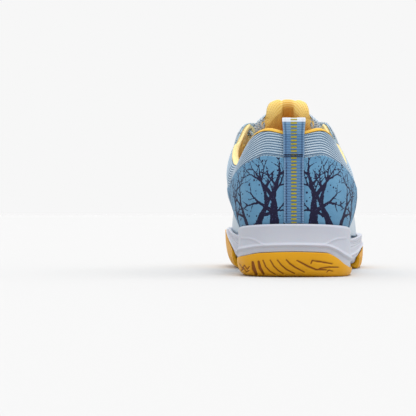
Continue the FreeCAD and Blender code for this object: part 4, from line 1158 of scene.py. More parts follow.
def waist_relief(s, v):
    """Three raised ribs that run forwards and down over the waist."""
    x, z = skin(s, v)[..., 1], skin(s, v)[..., 2]
    total = 0.0
    for start in (96.0, 111.0, 126.0):
        across = (x - start) * 0.82 + (z - 30.0) * 0.57
        total = total + 0.55 * np.exp(-(across / 2.2) ** 2)
    return total * smooth((v - 0.10) / 0.08) * smooth((0.62 - v) / 0.2)


def build_side_overlay(side):
    """The moulded film on the waist."""
    overlay("side_overlay", side, (4.5, 8.9), constant(0.085), waist_top, OVERLAY,
            pale_film, "pale_film", (0.9, 0.9), 1.0, waist_relief)
    s = side * np.linspace(4.62, 8.7, 120)
    skin_stitches("waist_stitches_" + side_name(side), s, waist_top(s) - 0.035, GAP + OVERLAY + 0.1,
                  pale_thread)


def build_mudguard(side):
    """The abrasion film beside the forefoot, with a fine dotted grain."""
    def dotted(s, v):
        flat = flat_of(s, v)
        wave = np.cos(flat[..., 0] * 2 * np.pi / 3.0) * np.cos(flat[..., 1] * 2 * np.pi / 3.0)
        return 0.25 * np.clip(wave, 0, 1)

    overlay("mudguard", side, (9.0, 10.6), constant(0.03), guard_top, OVERLAY,
            white_film, "pale_film", (0.5, 0.5), 0.9, dotted)


def build_toe_cap():
    """The toe's film, with a raised bumper line and one row of stitches."""
    def top(s):
        return 0.44 - 0.05 * (s - TOE) ** 2

    def bumper(s, v):
        return 0.3 * np.exp(-((v - top(s) * 0.7) / 0.02) ** 2)

    patch("toe_cap", (TOE - 1.3, TOE + 1.3), constant(0.03), top, constant(GAP), constant(GAP + FILM),
          white_film, "pale_film", (0.8, 0.8), lip=1.1, relief=bumper)
    s = np.linspace(TOE - 1.22, TOE + 1.22, 80)
    skin_stitches("toe_cap_stitches", s, top(s) - 0.022, GAP + FILM + 0.1, pale_thread)


def toe_grid(start, bottom, throat, rows, ups):
    """Stations and heights of a layer over the toes, behind the ridge and along it, on both sides."""
    blocks = []
    for side in SIDES:
        edges = [start, RIDGE_START, TOE]
        for a, b, top in zip(edges, edges[1:], (throat, constant(1.0))):
            p = np.linspace(a, b, rows)[:, None]
            q = np.linspace(0, 1, ups)[None, :]
            s = side * p + 0 * q
            high = top(s) + 0 * s
            blocks.append((s, bottom + (high - bottom) * q, side))
    return blocks


def build_toe_layer(name, start, bottom, throat, above, below, material, slot, rows, ups):
    """A closed layer over the toes, one piece across the ridge."""
    outer, inner, flats, faces, count = [], [], [], [], 0
    for s, v, side in toe_grid(start, bottom, throat, rows, ups):
        outer.append(on_skin(s, v, above(s, v)).reshape(-1, 3))
        inner.append(on_skin(s, v, below(s, v)).reshape(-1, 3))
        flats.append(flat_of(s, v).reshape(-1, 3))
        faces.append(quads(rows, ups, count, side < 0))
        count += rows * ups
    return shell(name, np.concatenate(outer), np.concatenate(inner), material, "shoe", [name], slot,
                 {"flat": np.concatenate(flats)}, np.concatenate(faces))


def build_vamp():
    """The forefoot's outer mesh and its lining."""
    def flex_creases(s, v):
        y = skin(s, v)[..., 1]
        fold = np.exp(-((y - 206.0) / 1.6) ** 2) + 0.7 * np.exp(-((y - 217.0) / 1.9) ** 2)
        return -0.35 * fold * smooth((v - 0.55) / 0.3)

    build_toe_layer("vamp", QUARTER_END + 0.03, 0.0, throat_edge, flex_creases,
                    lambda s, v: flex_creases(s, v) - SHEET, air_mesh, "pale_mesh", 44, 90)
    build_toe_layer("vamp_lining", 6.45, 0.0, lining_edge, toe_room, lambda s, v: toe_room(s, v) - LINING,
                    lining_mesh, "yellow_lining", 60, 50)
    for side in SIDES:
        v = np.linspace(0.04, 0.74, 60)
        skin_stitches("vamp_stitches_" + side_name(side), side * (QUARTER_END - 0.06), v, 0.1, pale_thread)


def build_lace_loop(side):
    """The navy webbing stay between the throat and the waist, ribbed and bartacked at its ends."""
    overlay("lace_loop", side, (6.3, 6.75), constant(0.63), constant(0.785), FILM, navy_webbing,
            "navy_webbing", (0.5, 0.25), 0.5,
            lambda s, v: 0.14 * np.cos(lookup(UP, s, v) * 2 * np.pi / WEAVE_PITCH))
    s = side * np.linspace(6.34, 6.71, 12)
    for k, v in enumerate((0.645, 0.77)):
        name = "lace_loop_%s_tack_%d" % (side_name(side), k + 1)
        skin_stitches(name, s, v, GAP + FILM + 0.2, navy_thread, pitch=0.75, long=0.6, thick=0.3)


# ---------------------------------------------------------------- the tongue
tongue_z = knots_curve([(-y, z) for y, z, half, drop in TONGUE])
tongue_half = knots_curve([(-y, half) for y, z, half, drop in TONGUE])
tongue_drop = knots_curve([(-y, drop) for y, z, half, drop in TONGUE])
TONGUE_TOP = 116.6      # where the tongue's rounded tip begins, from the heel
TONGUE_BASE = 236.0
TIP_RADIUS = 3.7


def tongue_face(p, y):
    """The tongue's front face: p runs from -1 to 1 across it, y is its section's place from the heel."""
    tip = 1 - 0.0022 * np.maximum(0.0, 122 - y) ** 2 * p ** 4 - 0.03 * smooth((134 - y) / 18)
    x = TONGUE_CENTRE + p * tongue_half(-y) * tip
    return np.stack([x, y + 0 * p, tongue_z(-y) - tongue_drop(-y) * p * p], -1)


def tongue_point(p, y, depth):
    """A point of the tongue at a depth above its front face."""
    p, y, depth = np.broadcast_arrays(np.asarray(p, float), np.asarray(y, float), np.asarray(depth, float))
    across = tongue_face(p + 0.01, y) - tongue_face(p - 0.01, y)
    along_it = tongue_face(p, y - 0.2) - tongue_face(p, y + 0.2)
    return tongue_face(p, y) + unit(np.cross(along_it, across)) * depth[..., None]


def tongue_rows(count, turns):
    """Rows up the tongue and then over its rounded tip: places y and turns over the tip, 0 to 1."""
    ys = np.concatenate([np.linspace(TONGUE_BASE, TONGUE_TOP, count), np.full(turns, TONGUE_TOP)])
    over = np.concatenate([np.zeros(count), np.linspace(0, 1, turns + 1)[1:]])
    return ys[:, None], over[:, None]


def tongue_wrap(p, y, over, depth):
    """A point of the padded tongue: past the tip it turns over from the back to the front face."""
    ahead = unit(tongue_face(p + 0 * y, y - 0.2) - tongue_face(p + 0 * y, y + 0.2))
    middle = -TIP_RADIUS - 0.2
    corner = smooth((np.abs(p) - 0.30) / 0.70)
    angle = np.pi * over * (1 - 0.45 * corner)
    turned = middle + (depth - middle) * np.cos(angle)
    reach = np.minimum(np.abs(depth - middle), TIP_RADIUS + 0.8) * np.sin(angle) * (1 - 0.7 * corner)
    return tongue_point(p, y, turned) + ahead * reach[..., None]


def lobes(p, y):
    """How far the tongue's back swells: two padded lobes beside a sunken middle, fading downwards."""
    x = p * tongue_half(-y)
    left, right = smooth((-4.4 - x) / 4.2), smooth((x - 5.4) / 4.2)
    edge = np.sqrt(np.clip((0.90 - np.abs(p)) / 0.30, 0, 1))
    crease = 0.9 * np.exp(-((x + 4.9) / 0.8) ** 2) + 0.5 * np.exp(-((x - 6.0) / 0.9) ** 2)
    fade = 1 - smooth((y - 124) / 50)
    return ((left + right) * 2.3 * edge - crease) * fade + 0.9 * edge * (1 - fade)


def build_tongue_lining():
    """The lining: two padded lobes, rolled over the tip."""
    y, over = tongue_rows(92, 16)
    near = smooth((126 - y) / 9)
    p = np.linspace(-0.91, 0.91, 81)[None, :] * (1 + 0.10 * near)
    x = p * tongue_half(-y)
    depth = -TIP_RADIUS * 2 - 0.3 - lobes(p, y) * (1 - 0.5 * np.sin(np.pi * over))
    depth = depth * (1 - 0.42 * near * smooth((np.abs(p) - 0.74) / 0.24))
    outer = tongue_wrap(p, y, over, depth)
    inner = tongue_wrap(p * 0.985, y, over, depth + LINING)
    flat = np.stack([x + 0 * over, -y + over * 8.0 + 0 * p, 0 * p * y], -1)
    # painted shade: a deeper orange low on the tongue and in the sunken middle between its lobes, less where
    # the lining turns over the tip
    middle = np.exp(-((x - 0.8) / 5.2) ** 4) * (1 - smooth((y - 122) / 60))
    inside_shade = np.clip(smooth((y - 114) / 26) + 0.75 * middle * (1 - over), 0, 1)
    shell("tongue_lining", outer, inner, lining_mesh, "tongue", ["tongue_lining"], "yellow_lining",
          {"flat": flat, "inside_shade": inside_shade + 0 * p})


def build_tongue_outer():
    """The outer mesh, wrapped round the tongue's sides."""
    q = np.linspace(-1, 1, 101)[None, :]
    ys = np.linspace(TONGUE_BASE, TONGUE_TOP - 0.4, 110)[:, None]
    turn = np.pi * ((np.abs(q) - 0.8) / 0.2).clip(0, 1)
    tongue_tip = 0.2 + 0.8 * smooth((ys - TONGUE_TOP) / 6.0)
    grids = []
    for start in (0.0, -SHEET):
        radius = TIP_RADIUS + 0.1 + start
        side = 0.93 * (np.abs(q) / 0.8).clip(0, 1) + 0.018 * radius * np.sin(turn) - 0.02 * (1 - np.cos(turn))
        depth = start - radius * (1 - np.cos(turn))
        grids.append(tongue_point(np.sign(q) * side, ys, (depth + TIP_RADIUS) * tongue_tip - TIP_RADIUS))
    flat = np.stack([q * 1.25 * tongue_half(-ys), -ys + 0 * q, 0 * q * ys], -1)
    shell("tongue_outer", *grids, tongue_mesh, "tongue", ["tongue_outer"], "tongue_mesh", {"flat": flat})


def build_tongue_foam():
    """The tongue's padding, with rounded sides and ends."""
    p = shares(24, 2.0, 0.2)[None, :] * 2 - 1
    ys = np.linspace(232, 122, 60)[:, None]
    rolled_edge = np.sqrt(np.clip(1 - ((np.abs(p) - 0.86) / 0.14).clip(0, 1) ** 2, 0.02, 1))
    rolled_end = np.sqrt(np.clip(np.minimum(232.6 - ys, ys - 121.4) / 3.0, 0.02, 1))
    middle, half = -4.1, 2.15 * rolled_edge * rolled_end
    outer, inner = tongue_point(p * 0.88, ys, middle + half), tongue_point(p * 0.88, ys, middle - half)
    foam = shell("tongue_foam", outer, inner, padding, "tongue", ["tongue_foam"], "padding")


def build_tongue():
    """The padded tongue, with a row of stitches along each side."""
    build_tongue_lining()
    build_tongue_outer()
    build_tongue_foam()
    line = np.linspace(226, 124, 90)
    for k, p_line in enumerate((-0.74, 0.74)):
        points = tongue_point(p_line, line, 0.15)
        up = unit(tongue_point(p_line, line, 1.0) - points)
        stitches("tongue_stitches_%d" % (k + 1), points, up, pale_thread, "tongue")


# ---------------------------------------------------------------- the webbing
# The pull loop's centre line above the collar, y and z, from its outer leg over the top to its inner leg
LOOP = [(12.46, 94.6), (12.6, 97.2), (12.7, 99.6), (13.2, 102.4), (15.2, 104.7), (18.4, 105.0), (21.2, 103.2),
        (22.4, 100.2), (22.6, 97.0), (22.8, 92.8)]
BARTACK_HEIGHT = 0.775


def curve_through(points, count):
    """A smooth curve through points, evenly spaced: Catmull-Rom."""
    points = np.asarray(points, float)
    knots = path_lengths(points)
    slopes = np.gradient(points, knots, axis=0)
    x = np.linspace(0, knots[-1], count)
    i = np.clip(np.searchsorted(knots, x, side="right") - 1, 0, len(knots) - 2)
    h = (knots[i + 1] - knots[i])[:, None]
    return hermite((x - knots[i])[:, None] / h, h, points[i], points[i + 1], slopes[i], slopes[i + 1])


def heel_line(low, high, depth, count):
    """A line of (y, z) points up the back seam at a depth."""
    return on_skin(0.0, np.linspace(low, high, count), depth)[:, 1:]


def outward_of(line):
    """Unit vectors square to a line of (y, z) points."""
    tangent = unit(np.gradient(line, axis=0))
    return np.stack([-tangent[:, 1], tangent[:, 0]], -1)


def webbing(name, line, width, material, body):
    """Ribbed tape along (y, z) points. width is a function of the share of its length."""
    outward = outward_of(line)
    distance = path_lengths(line)
    p = np.concatenate([[-1, -0.985, -0.955], np.linspace(-0.93, 0.93, 27), [0.955, 0.985, 1]])[None, :]
    half = width(distance / distance[-1])[:, None] / 2
    rib = 0.1 * np.cos(2 * np.pi * distance / WEAVE_PITCH)[:, None]
    edge = np.sqrt(np.clip((1.02 - np.abs(p)) / 0.06, 0, 1))
    grids = []
    for sign in (1, -1):
        depth = sign * (STRAP_THICKNESS / 2 * edge) + sign * rib * edge * (np.abs(p) < 0.95)
        y, z = (line[:, k, None] + outward[:, k, None] * depth for k in (0, 1))
        grids.append(np.stack([p * half + 0 * y, y, z], -1))
    flat = np.stack([p * WEBBING_HALF + 0 * half, distance[:, None] + 0 * p, 0 * half * p], -1)
    return shell(name, *grids, material, body, [name], "webbing", {"flat": flat})


def edge_stitches(name, line):
    """A stitch row near each edge of the heel strip, just above its face."""
    pitch, inset, rise = 2.2, 1.7, 0.65
    normals = np.pad(outward_of(line), ((0, 0), (1, 0)))
    for side in SIDES:
        x = side * (STRIP_WIDTH / 2 - inset)
        points = np.pad(line, ((0, 0), (1, 0)), constant_values=x) + normals * rise
        stitches(name + "_" + side_name(side), points, normals, navy_thread, "shoe", pitch, pitch * 0.6, 0.22)


def strip_width(share):
    """The heel strip's width, a little wider near its top."""
    return STRIP_WIDTH + 1.0 * smooth((share - 0.7) / 0.08)


def loop_width(share):
    """The pull loop's width, widest over its bend."""
    return 14.0 + 1.5 * np.sin(np.pi * np.clip(share * 1.25, 0, 1)) ** 1.2 - 1.0 * smooth((share - 0.8) / 0.2)


def tail_width(share):
    return STRIP_WIDTH + 0 * share


def build_webbing():
    """The strip sewn down the back seam, the loop, its sewn-in tail and the bar where it leaves the strip."""
    lie = GAP + OVERLAY + GAP + STRAP_THICKNESS / 2
    line = heel_line(0.145, THROAT_TOP, lie, 250)
    webbing("heel_strip", line, strip_width, strip_webbing, "shoe")
    sewn = int(0.70 * len(line))
    edge_stitches("strip_stitches", line[3:sewn])
    over = curve_through([tuple(line[-1])] + LOOP[1:], 150)
    loop = webbing("pull_tab", over, loop_width, lit_loop_webbing, None)
    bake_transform(loop)
    tail_low, tail_high = 0.86, 0.975
    depth = lining_back(0.0, np.linspace(tail_low, tail_high, 40)) - 1.9 - STRAP_THICKNESS / 2
    webbing("pull_tab_tail", heel_line(tail_low, tail_high, depth, 40), tail_width, strip_webbing, "shoe")
    build_bartack()


def build_bartack():
    """Two dense rows of dark thread across the strip."""
    for k, shift in enumerate((-0.0085, 0.0085)):
        v = BARTACK_HEIGHT + shift
        x = np.linspace(-STRIP_WIDTH / 2 - 0.1, STRIP_WIDTH / 2 + 0.1, 30)
        base = on_skin(0.0, v, GAP + OVERLAY + GAP + STRAP_THICKNESS + 0.25)
        points = np.stack([x, base[1] + 0 * x, base[2] + 0.12 * np.cos(x * 9)], -1)
        up = np.broadcast_to(normal(0.0, v), points.shape)
        stitches("pull_tab_bartack_%d" % (k + 1), points, up, navy_thread, pitch=0.95, long=0.8,
                               thick=0.36)
    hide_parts("pull_tab_bartack")


# ---------------------------------------------------------------- the lace
def over_tongue(x, s, lift):
    """The lace's centre where it crosses the tongue between the throat's edges at station s."""
    y = (top_rail.at(s)[..., 1] + top_rail.at(-s)[..., 1]) / 2
    return tongue_point(x, y, LACE_RADIUS + 1.0 + lift)


def throat_turn(s, depth):
    """The lace's centre where it bends round the throat's edge, above or under it."""
    sign = 1 if depth > 0 else -1
    return on_skin(s, 1.0, depth + sign * LACE_EDGE[sign])


def lace_points(first_side):
    """The half of the lace that starts at the middle of the lowest bar and leaves on first_side."""
    points = [over_tongue(0.0, EYELETS[0], LACE_LIFT / 2)]
    side = first_side
    lift = 0.0 if first_side > 0 else LACE_LIFT
    points.append(throat_turn(side * (EYELETS[0] + 0.02), LACE_OVER))
    points.append(on_skin(side * EYELETS[0], EYELET_HEIGHT, LACE_OVER))
    points.append(on_skin(side * EYELETS[0], EYELET_HEIGHT, LACE_UNDER))
    leave = LACE_UNDER
    for k, (s, t) in enumerate(zip(EYELETS, EYELETS[1:])):
        last = k == len(EYELETS) - 2
        arrive = LACE_OVER if last else LACE_UNDER
        points.append(throat_turn(side * (s - 0.06), leave))
        points.append(over_tongue(0.0, (s + t) / 2, lift))
        side = -side
        points.append(throat_turn(side * (t + 0.06), arrive))
        points.append(on_skin(side * t, EYELET_HEIGHT, arrive))
        points.append(on_skin(side * t, EYELET_HEIGHT, LACE_END if last else LACE_OVER))
        leave = LACE_OVER
        lift = LACE_LIFT - lift
    for s, v in ((7.12, 0.83), (7.3, 0.77)):
        points.append(on_skin(side * s, v, LACE_END))
    return points


def spline_through_corners(points, steps=14):
    """A quadratic spline with these control points."""
    points = np.asarray(points, float)
    middles = (points[:-1] + points[1:]) / 2
    line = [points[0], middles[0]]
    for start, corner, end in zip(middles, points[1:-1], middles[1:]):
        for k in range(1, steps + 1):
            t = k / steps
            line.append(start * (1 - t) ** 2 + 2 * corner * t * (1 - t) + end * t * t)
    return np.array(line + [points[-1]])


def build_lace():
    """The lace is held all the way: one cord from tip to tip through the twelve holes."""
    right, left = lace_points(1), lace_points(-1)
    line = spline_through_corners(left[::-1] + right[1:])
    tube("lace", line, LACE_RADIUS * 0.97, braid, "shoe", ["lace"], 14)


def build_aglets():
    """Moulded tips with a pinched collar."""
    for side in SIDES:
        name = "aglet_" + side_name(side)
        start = lace_points(-side)[-1]
        ahead = unit(on_skin(side * 7.5, 0.715, LACE_END) - start)
        t = np.linspace(0, 1, 26)
        shape = np.sqrt(np.clip(t / 0.03, 0.1, 1)) * np.sqrt(np.clip((1 - t) / 0.08, 0.15, 1))
        pinch = 1 - 0.12 * np.exp(-((t - 0.12) / 0.03) ** 2)
        path = start + ahead * (GAP + 18.0 * t)[:, None]
        tube("tip_" + name, path, 1.25 * shape * pinch, tip_plastic, "shoe", [name], 16)


# ---------------------------------------------------------------- the sole
HEEL_PAD_END = 94.0
FORE_PAD_START = 168.0
# Grooves moulded into the heel's rubber as seen from behind: x, z and half width
HEEL_GROOVES = [
    [(-20.4, 11.0, 0.38), (-18.6, 6.6, 0.45), (-15.8, 3.6, 0.45), (-12.4, 1.6, 0.38)],
    [(-15.6, 11.2, 0.38), (-13.2, 7.0, 0.45), (-10.4, 4.2, 0.45), (-7.0, 2.0, 0.38)],
    [(-10.8, 11.2, 0.38), (-8.2, 7.8, 0.45), (-4.7, 4.8, 0.52), (0.4, 2.2, 0.38)],
    [(-5.0, 11.4, 0.38), (-2.6, 8.8, 0.52), (0.8, 6.4, 0.52), (6.8, 3.2, 0.38)],
    [(2.0, 11.0, 0.38), (5.0, 9.4, 0.52), (9.4, 7.0, 0.60), (14.6, 4.8, 0.52), (21.4, 4.6, 0.38)],
    [(11.2, 8.8, 0.38), (12.0, 10.9, 0.45), (18.0, 10.0, 0.52), (25.2, 8.6, 0.38)],
    [(16.8, 5.6, 0.38), (23.0, 6.4, 0.45), (29.4, 6.2, 0.38)],
    [(-23.4, 10.0, 0.75), (-22.4, 5.6, 1.05), (-20.0, 1.6, 0.75)],
    [(-27.4, 9.4, 0.90), (-26.6, 5.0, 1.35), (-25.0, 1.4, 0.90)],
    [(-36.6, 8.0, 0.30), (-34.6, 5.0, 0.38), (-33.0, 7.2, 0.38), (-31.2, 4.4, 0.38), (-29.6, 6.6, 0.30)],
    [(-35.2, 3.4, 0.30), (-33.4, 5.0, 0.38), (-31.8, 2.6, 0.38), (-29.8, 3.8, 0.30)],
    [(21.6, 3.0, 0.30), (23.0, 4.4, 0.38), (25.6, 3.6, 0.30)],
]


def tread(x, y, first):
    """Depth of the tread's chevron grooves, 0 to 1, under the sole."""
    sweep = np.abs(x) * 0.13 * (1 if first > 100 else -1)
    phase = (y - first - sweep) / 6.5
    main = np.abs(phase - np.round(phase)) * 6.5
    wide = np.where(np.round(phase) % 2 == 0, 1.0, 0.55)
    channel = np.abs(np.abs(x + 2) - 16.0)
    cross = np.minimum(main, channel)
    return smooth((wide - cross) / 0.5 + 0.5) * np.where(cross == main, 1.0, 0.7)


def section_rows(first, last, count):
    """Stations from the heel or to the toe, closer together near the end that closes."""
    t = np.linspace(0, 1, count)
    if last >= TOE:
        return first + (last - first) * (1 - (1 - t) ** 1.6)
    return first + (last - first) * t ** 1.6


def ground_height(y):
    """The rubber's underside above the floor."""
    return np.maximum(floor_line(y), 0)


def wall_points(s, share, top, foot_inset, foot):
    """A rounded rubber wall from its top edge (share 0) to its foot (share 1), where it has turned under."""
    p = 1 - np.sqrt(np.clip(1 - share ** 2.2, 0, 1)) ** 1.25
    q = 1 - (1 - share) ** 1.35
    return lifted(outline(s, foot_inset * p), top + (foot - top) * q)


WALL_ROWS = 34
FLOOR_ROWS = 90
TREAD_DEPTH = 1.3
GROOVE_DEPTH = 0.75
FLANK_DEPTH = 0.6
FLANK_PITCH = 7.0


def pad_grids(stations, open_end, sweep):
    """A pad's outer and inner points: medial wall, floor and lateral wall. Its open end is bowed by sweep."""
    share = np.linspace(0, 1, WALL_ROWS)[None, :]
    walls = []
    for side in SIDES[::-1]:
        s = side * stations + 0 * share
        turn = bevel(s)
        top, foot = rubber_top(s), ground_height(outline(s, turn)[..., 1])
        out = wall_points(s, share, top, turn, foot)
        within = wall_points(s, share, top, turn + WING * 0.6, foot + RUBBER)
        within[..., :2] += outline(s, WING * smooth(share * 3 + 0.35)) - outline(s)
        walls.append((out, within) if side < 0 else (out[:, ::-1], within[:, ::-1]))
    t = np.linspace(0, 1, FLOOR_ROWS)[None, 1:-1, None]
    pull = np.clip(1 - np.abs(stations - open_end) / 1.2, 0, 1)
    grids = []
    for left, right, thick in zip(*walls, (0.0, RUBBER)):
        floor = left[:, -1:] * (1 - t) + right[:, :1] * t
        floor[..., 2] = ground_height(floor[..., 1]) + thick
        grid = np.concatenate([left, floor, right], 1)
        grid[..., 1] += sweep * (1 - np.abs(grid[..., 0]) / 45.0) * pull
        grids.append(grid)
    return grids


def build_pad(name, first, last, sweep, tread_start):
    """A rubber pad: grooved walls on both sides, a treaded floor between them and a smooth inside."""
    at_heel = last < TOE
    stations = section_rows(first, last, 150 if at_heel else 170)[:, None]
    outer, inner = pad_grids(stations, last if at_heel else first, sweep)
    column = np.arange(outer.shape[1])[None, :]
    border = np.minimum(column - WALL_ROWS + 2, outer.shape[1] - WALL_ROWS + 1 - column)
    on_wall = (border < 0).astype(float)
    level = smooth((3.0 - outer[..., 2]) / 2.0)
    groove = tread(outer[..., 0], outer[..., 1], tread_start) * (1 - on_wall) * smooth(border / 3.0) * level
    outer[..., 2] += TREAD_DEPTH * groove
    if at_heel:
        distance = stroke_distance(outer[..., 0], outer[..., 2], HEEL_GROOVES)
        cut = np.where(outer[..., 1] < 34, smooth(0.5 - distance / 0.7), 0.0) * on_wall
        depth, shade = GROOVE_DEPTH * cut, cut
    else:
        wave = np.cos(lookup(ALONG, stations, 0.0) * 2 * np.pi / FLANK_PITCH)
        height = (outer[..., 2] - 1.0) / np.maximum(rubber_top(stations) - 1.0, 1.0)
        flank = on_wall * smooth(wave * 2 - 0.8)
        flank = flank * smooth((0.72 - height) / 0.12) * smooth((height - 0.08) / 0.1)
        depth, shade = FLANK_DEPTH * flank, flank * 0.8
    outer = outer + unit(inner - outer) * depth[..., None]
    # the groove mark is painted shade: the tread's grooves and the walls' grooves are darkened
    shell(name, outer, inner, rubber, "shoe", [name], "yellow_rubber", {"groove": np.maximum(groove, shade)})


LIP = 0.243         # the sculpted lip's height, as a share of the wall from the rubber to the rim
# Fine ridges that leave the lip and rise towards the sides, as seen from behind: x, z and half width
LIP_RIDGES = [
    [(19.5, 21.4, 0.1), (22.6, 22.6, 0.25), (26.0, 24.4, 0.3), (29.5, 25.3, 0.3), (35.0, 25.4, 0.15)],
]


def foam_wall(s, share):
    """The midsole's outer wall from the rim (0) to its foot on the rubber (1)."""
    height = 1 - share
    inset = 0.55 + 0.35 * np.sin(np.pi * np.clip((height - LIP) / (1 - LIP), 0, 1))
    inset = inset - 0.95 * np.exp(-((height - LIP) / 0.055) ** 2)
    below = smooth((LIP - 0.03 - height) / 0.06)
    inset = inset + 0.35 * below + 0.5 * (LIP - height).clip(0, 1) * below
    inset = inset + 1.1 * (1 - np.sqrt(np.clip(share, 0, 0.07) / 0.07))
    groove = 0.0
    for level in (0.50, 0.66, 0.82):
        line = level + 0.10 * np.sin(np.abs(s) * 0.9 + level * 5)
        groove = groove + 0.45 * np.exp(-((height - line) / 0.035) ** 2)
    around = smooth((np.abs(s) - 2.6) / 0.8) * smooth((9.2 - np.abs(s)) / 1.2)
    wing = smooth(1 - np.abs(s + 8.5)) * 1.7
    top, foot = rim_height(s), rubber_top(s) + GAP
    points = lifted(outline(s, inset + wing + groove * around), foot + (top - foot) * height)
    ridge = smooth(0.5 - stroke_distance(np.abs(points[..., 0]), points[..., 2], LIP_RIDGES) / 1.6)
    push = np.where(points[..., 1] < 40, 0.55 * ridge, 0.0)
    points[..., :2] += unit(outline(s) - outline(s, 1.0)) * push[..., None]
    return points


def foam_underside(y):
    """The height of the foam's underside: it lies on the rubber, and on the shank in the open arch."""
    arch = smooth((y - HEEL_PAD_END - 8) / 6) * smooth((FORE_PAD_START - 8 - y) / 6)
    return ground_height(y) + RUBBER + GAP - RUBBER * 0.55 * arch


def heel_to_toe(count):
    """Stations from the heel to the toe, closer together at both ends."""
    return (TOE / 2 - TOE / 2 * np.cos(np.linspace(0, np.pi, count)))[:, None]


def foam_side(side, stations, wall):
    """One side of the foam cup: its wall, its foot turning under, and its inside down to the bed."""
    k = np.linspace(0, 1, 22)[None, :]
    s = side * stations + 0 * k
    plan = outline(s, WING + 0.4 + bevel(s) * k ** 1.5)
    start = rubber_top(s) + GAP
    under = lifted(plan, start + (foam_underside(plan[..., 1]) - start) * (1 - (1 - k) ** 2.4))
    t = np.linspace(0, 1, 24)[None, :]
    s = side * stations + 0 * t
    rim_in = RIM_INSET + RIM_FORE * smooth((np.abs(s) - 6.5) / 1.6)
    cup = FEATHER_INSET - OVERLAY - 1.0
    bulge = 0.5 * np.exp(-(t / 0.03) ** 2)
    plan = outline(s, rim_in + (cup - rim_in) * t ** 0.8 - bulge)
    within = lifted(plan, rim_height(s) - bulge + (footbed(plan[..., 1]) - rim_height(s)) * t)
    return foam_wall(side * stations + 0 * wall, wall), under, within


def build_midsole():
    """The foam cup: a sculpted wall, a rolled rim, the bed under the foot and the underside."""
    stations = heel_to_toe(300)
    wall = np.unique(np.concatenate([np.linspace(0, 1, 44), 1 - LIP + np.linspace(-0.12, 0.12, 24),
                                     np.linspace(0, 0.08, 8)]))[None, :]
    left, right = (foam_side(side, stations, wall) for side in SIDES[::-1])
    t = np.linspace(0, 1, 30)[None, 1:-1, None]
    floor = left[1][:, -1:] * (1 - t) + right[1][:, -1:] * t
    floor[..., 2] = foam_underside(floor[..., 1])
    bed = left[2][:, -1:] * (1 - t) + right[2][:, -1:] * t
    bed[..., 2] = footbed(bed[..., 1])
    ring = np.concatenate([left[0], left[1], floor, right[1][:, ::-1], right[0][:, ::-1], right[2],
                           bed[:, ::-1], left[2][:, ::-1]], 1)
    rows, count = ring.shape[:2]
    i = np.arange(rows - 1)[:, None] * count
    j = np.arange(count)[None, :]
    after = (j + 1) % count
    faces = np.stack([i + j, i + count + j, i + count + after, i + after], -1).reshape(-1, 4)
    points = ring.reshape(-1, 3)
    first, kept = merged(points, faces)
    add_piece("midsole", points[first], kept, white_foam, "shoe", ["midsole"])


# ---------------------------------------------------------------- inside the shoe
def plan_rows(inset, rows, shares_across):
    """A plan of the foot inside the outline: rows from the medial to the lateral side."""
    stations = heel_to_toe(rows)
    t = shares_across[None, :, None]
    left, right = outline(-stations, inset), outline(stations, inset)
    return left * (1 - t) + right * t


def build_sock(name, inset, low, high, material, body, slot, relief=None):
    """A layer on the footbed with rounded edges, from low to high above it."""
    width, lip = 60.0, 2.0
    t = shares(40, width, lip)
    plan = plan_rows(inset, 150, t)
    x, y = plan[..., 0], plan[..., 1]
    ends = np.sqrt(np.clip(np.minimum(y - inset, 2 * HALF_LENGTH - inset - y) / lip, 0, 1))
    edge = 0.35 + 0.65 * rolled(t, width, lip)[None, :] * ends
    extra = relief(x, y) if relief else 0.0
    top = footbed(y) + low + (high - low) * edge + extra * edge
    return shell(name, lifted(plan, top), lifted(plan, footbed(y) + low), material, body, [name], slot)


def build_insides():
    """The insole and its cloth, the shock pads, and finishes for the pieces whose CAD shape is right."""
    def cupped(x, y):
        return 0.5 * smooth((np.abs(x) - 16) / 12) * (1 - smooth((y - 150) / 60))

    sock = build_sock("insole", 12.4, 1.8, 5.8, sock_foam, "insole", "sock_foam")
    build_sock("insole_cover", 12.4, 6.1, 7.0, sock_cloth, "insole", "yellow_lining", cupped)
    for name in ("heel_cushion", "forefoot_cushion"):
        build_cushion(name)
    finishes = {"arch_shank": shank_plastic, "strobel_board": board, "heel_counter": counter_board,
                "toe_puff": counter_board}
    for name, material in finishes.items():
        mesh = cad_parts[name].data
        if not mesh.materials:
            mesh.materials.append(material)
        for k in range(len(mesh.materials)):
            mesh.materials[k] = material


def build_cushion(name):
    """An oval gel pad with a rounded rim and a honeycomb of shallow dimples on top."""
    low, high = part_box(name)
    centre, half = (np.array(low) + np.array(high)) / 2, (np.array(high) - np.array(low)) / 2
    turn = np.linspace(0, 2 * np.pi, 97)[:, None]
    out = np.concatenate([np.linspace(0, 0.9, 26), [0.94, 0.97, 0.99, 1.0]])[None, :]
    drop = 1 - np.sqrt(np.clip(1 - ((out - 0.9) / 0.1).clip(0, 1) ** 2, 0, 1))
    x, y = half[0] * out * np.cos(turn), half[1] * out * np.sin(turn)
    cell = np.cos(x * 2 * np.pi / 0.006) * np.cos(y * 2 * np.pi / 0.006)
    z = half[2] * (1 - 0.6 * drop) + 0 * x
    top = np.stack([x, y, z - 0.0006 * np.clip(cell, 0, 1) * (out < 0.88)], -1)
    bottom = np.stack([x, y, -z], -1)
    return shell(name, from_frame(centre + top), from_frame(centre + bottom), gel, "shoe", [name], "pad_gel")


# ---------------------------------------------------------------- stage, light and camera
CAMERA_DISTANCE = 1.063      # behind the heel
CAMERA_HEIGHT = 0.042
CAMERA_YAW = 3.03            # degrees to the left
CAMERA_TILT = 0.19           # degrees up
SENSOR = 36.0
LENS = 140.4
BACKGROUND = colour(247, 247, 247, 1.0)


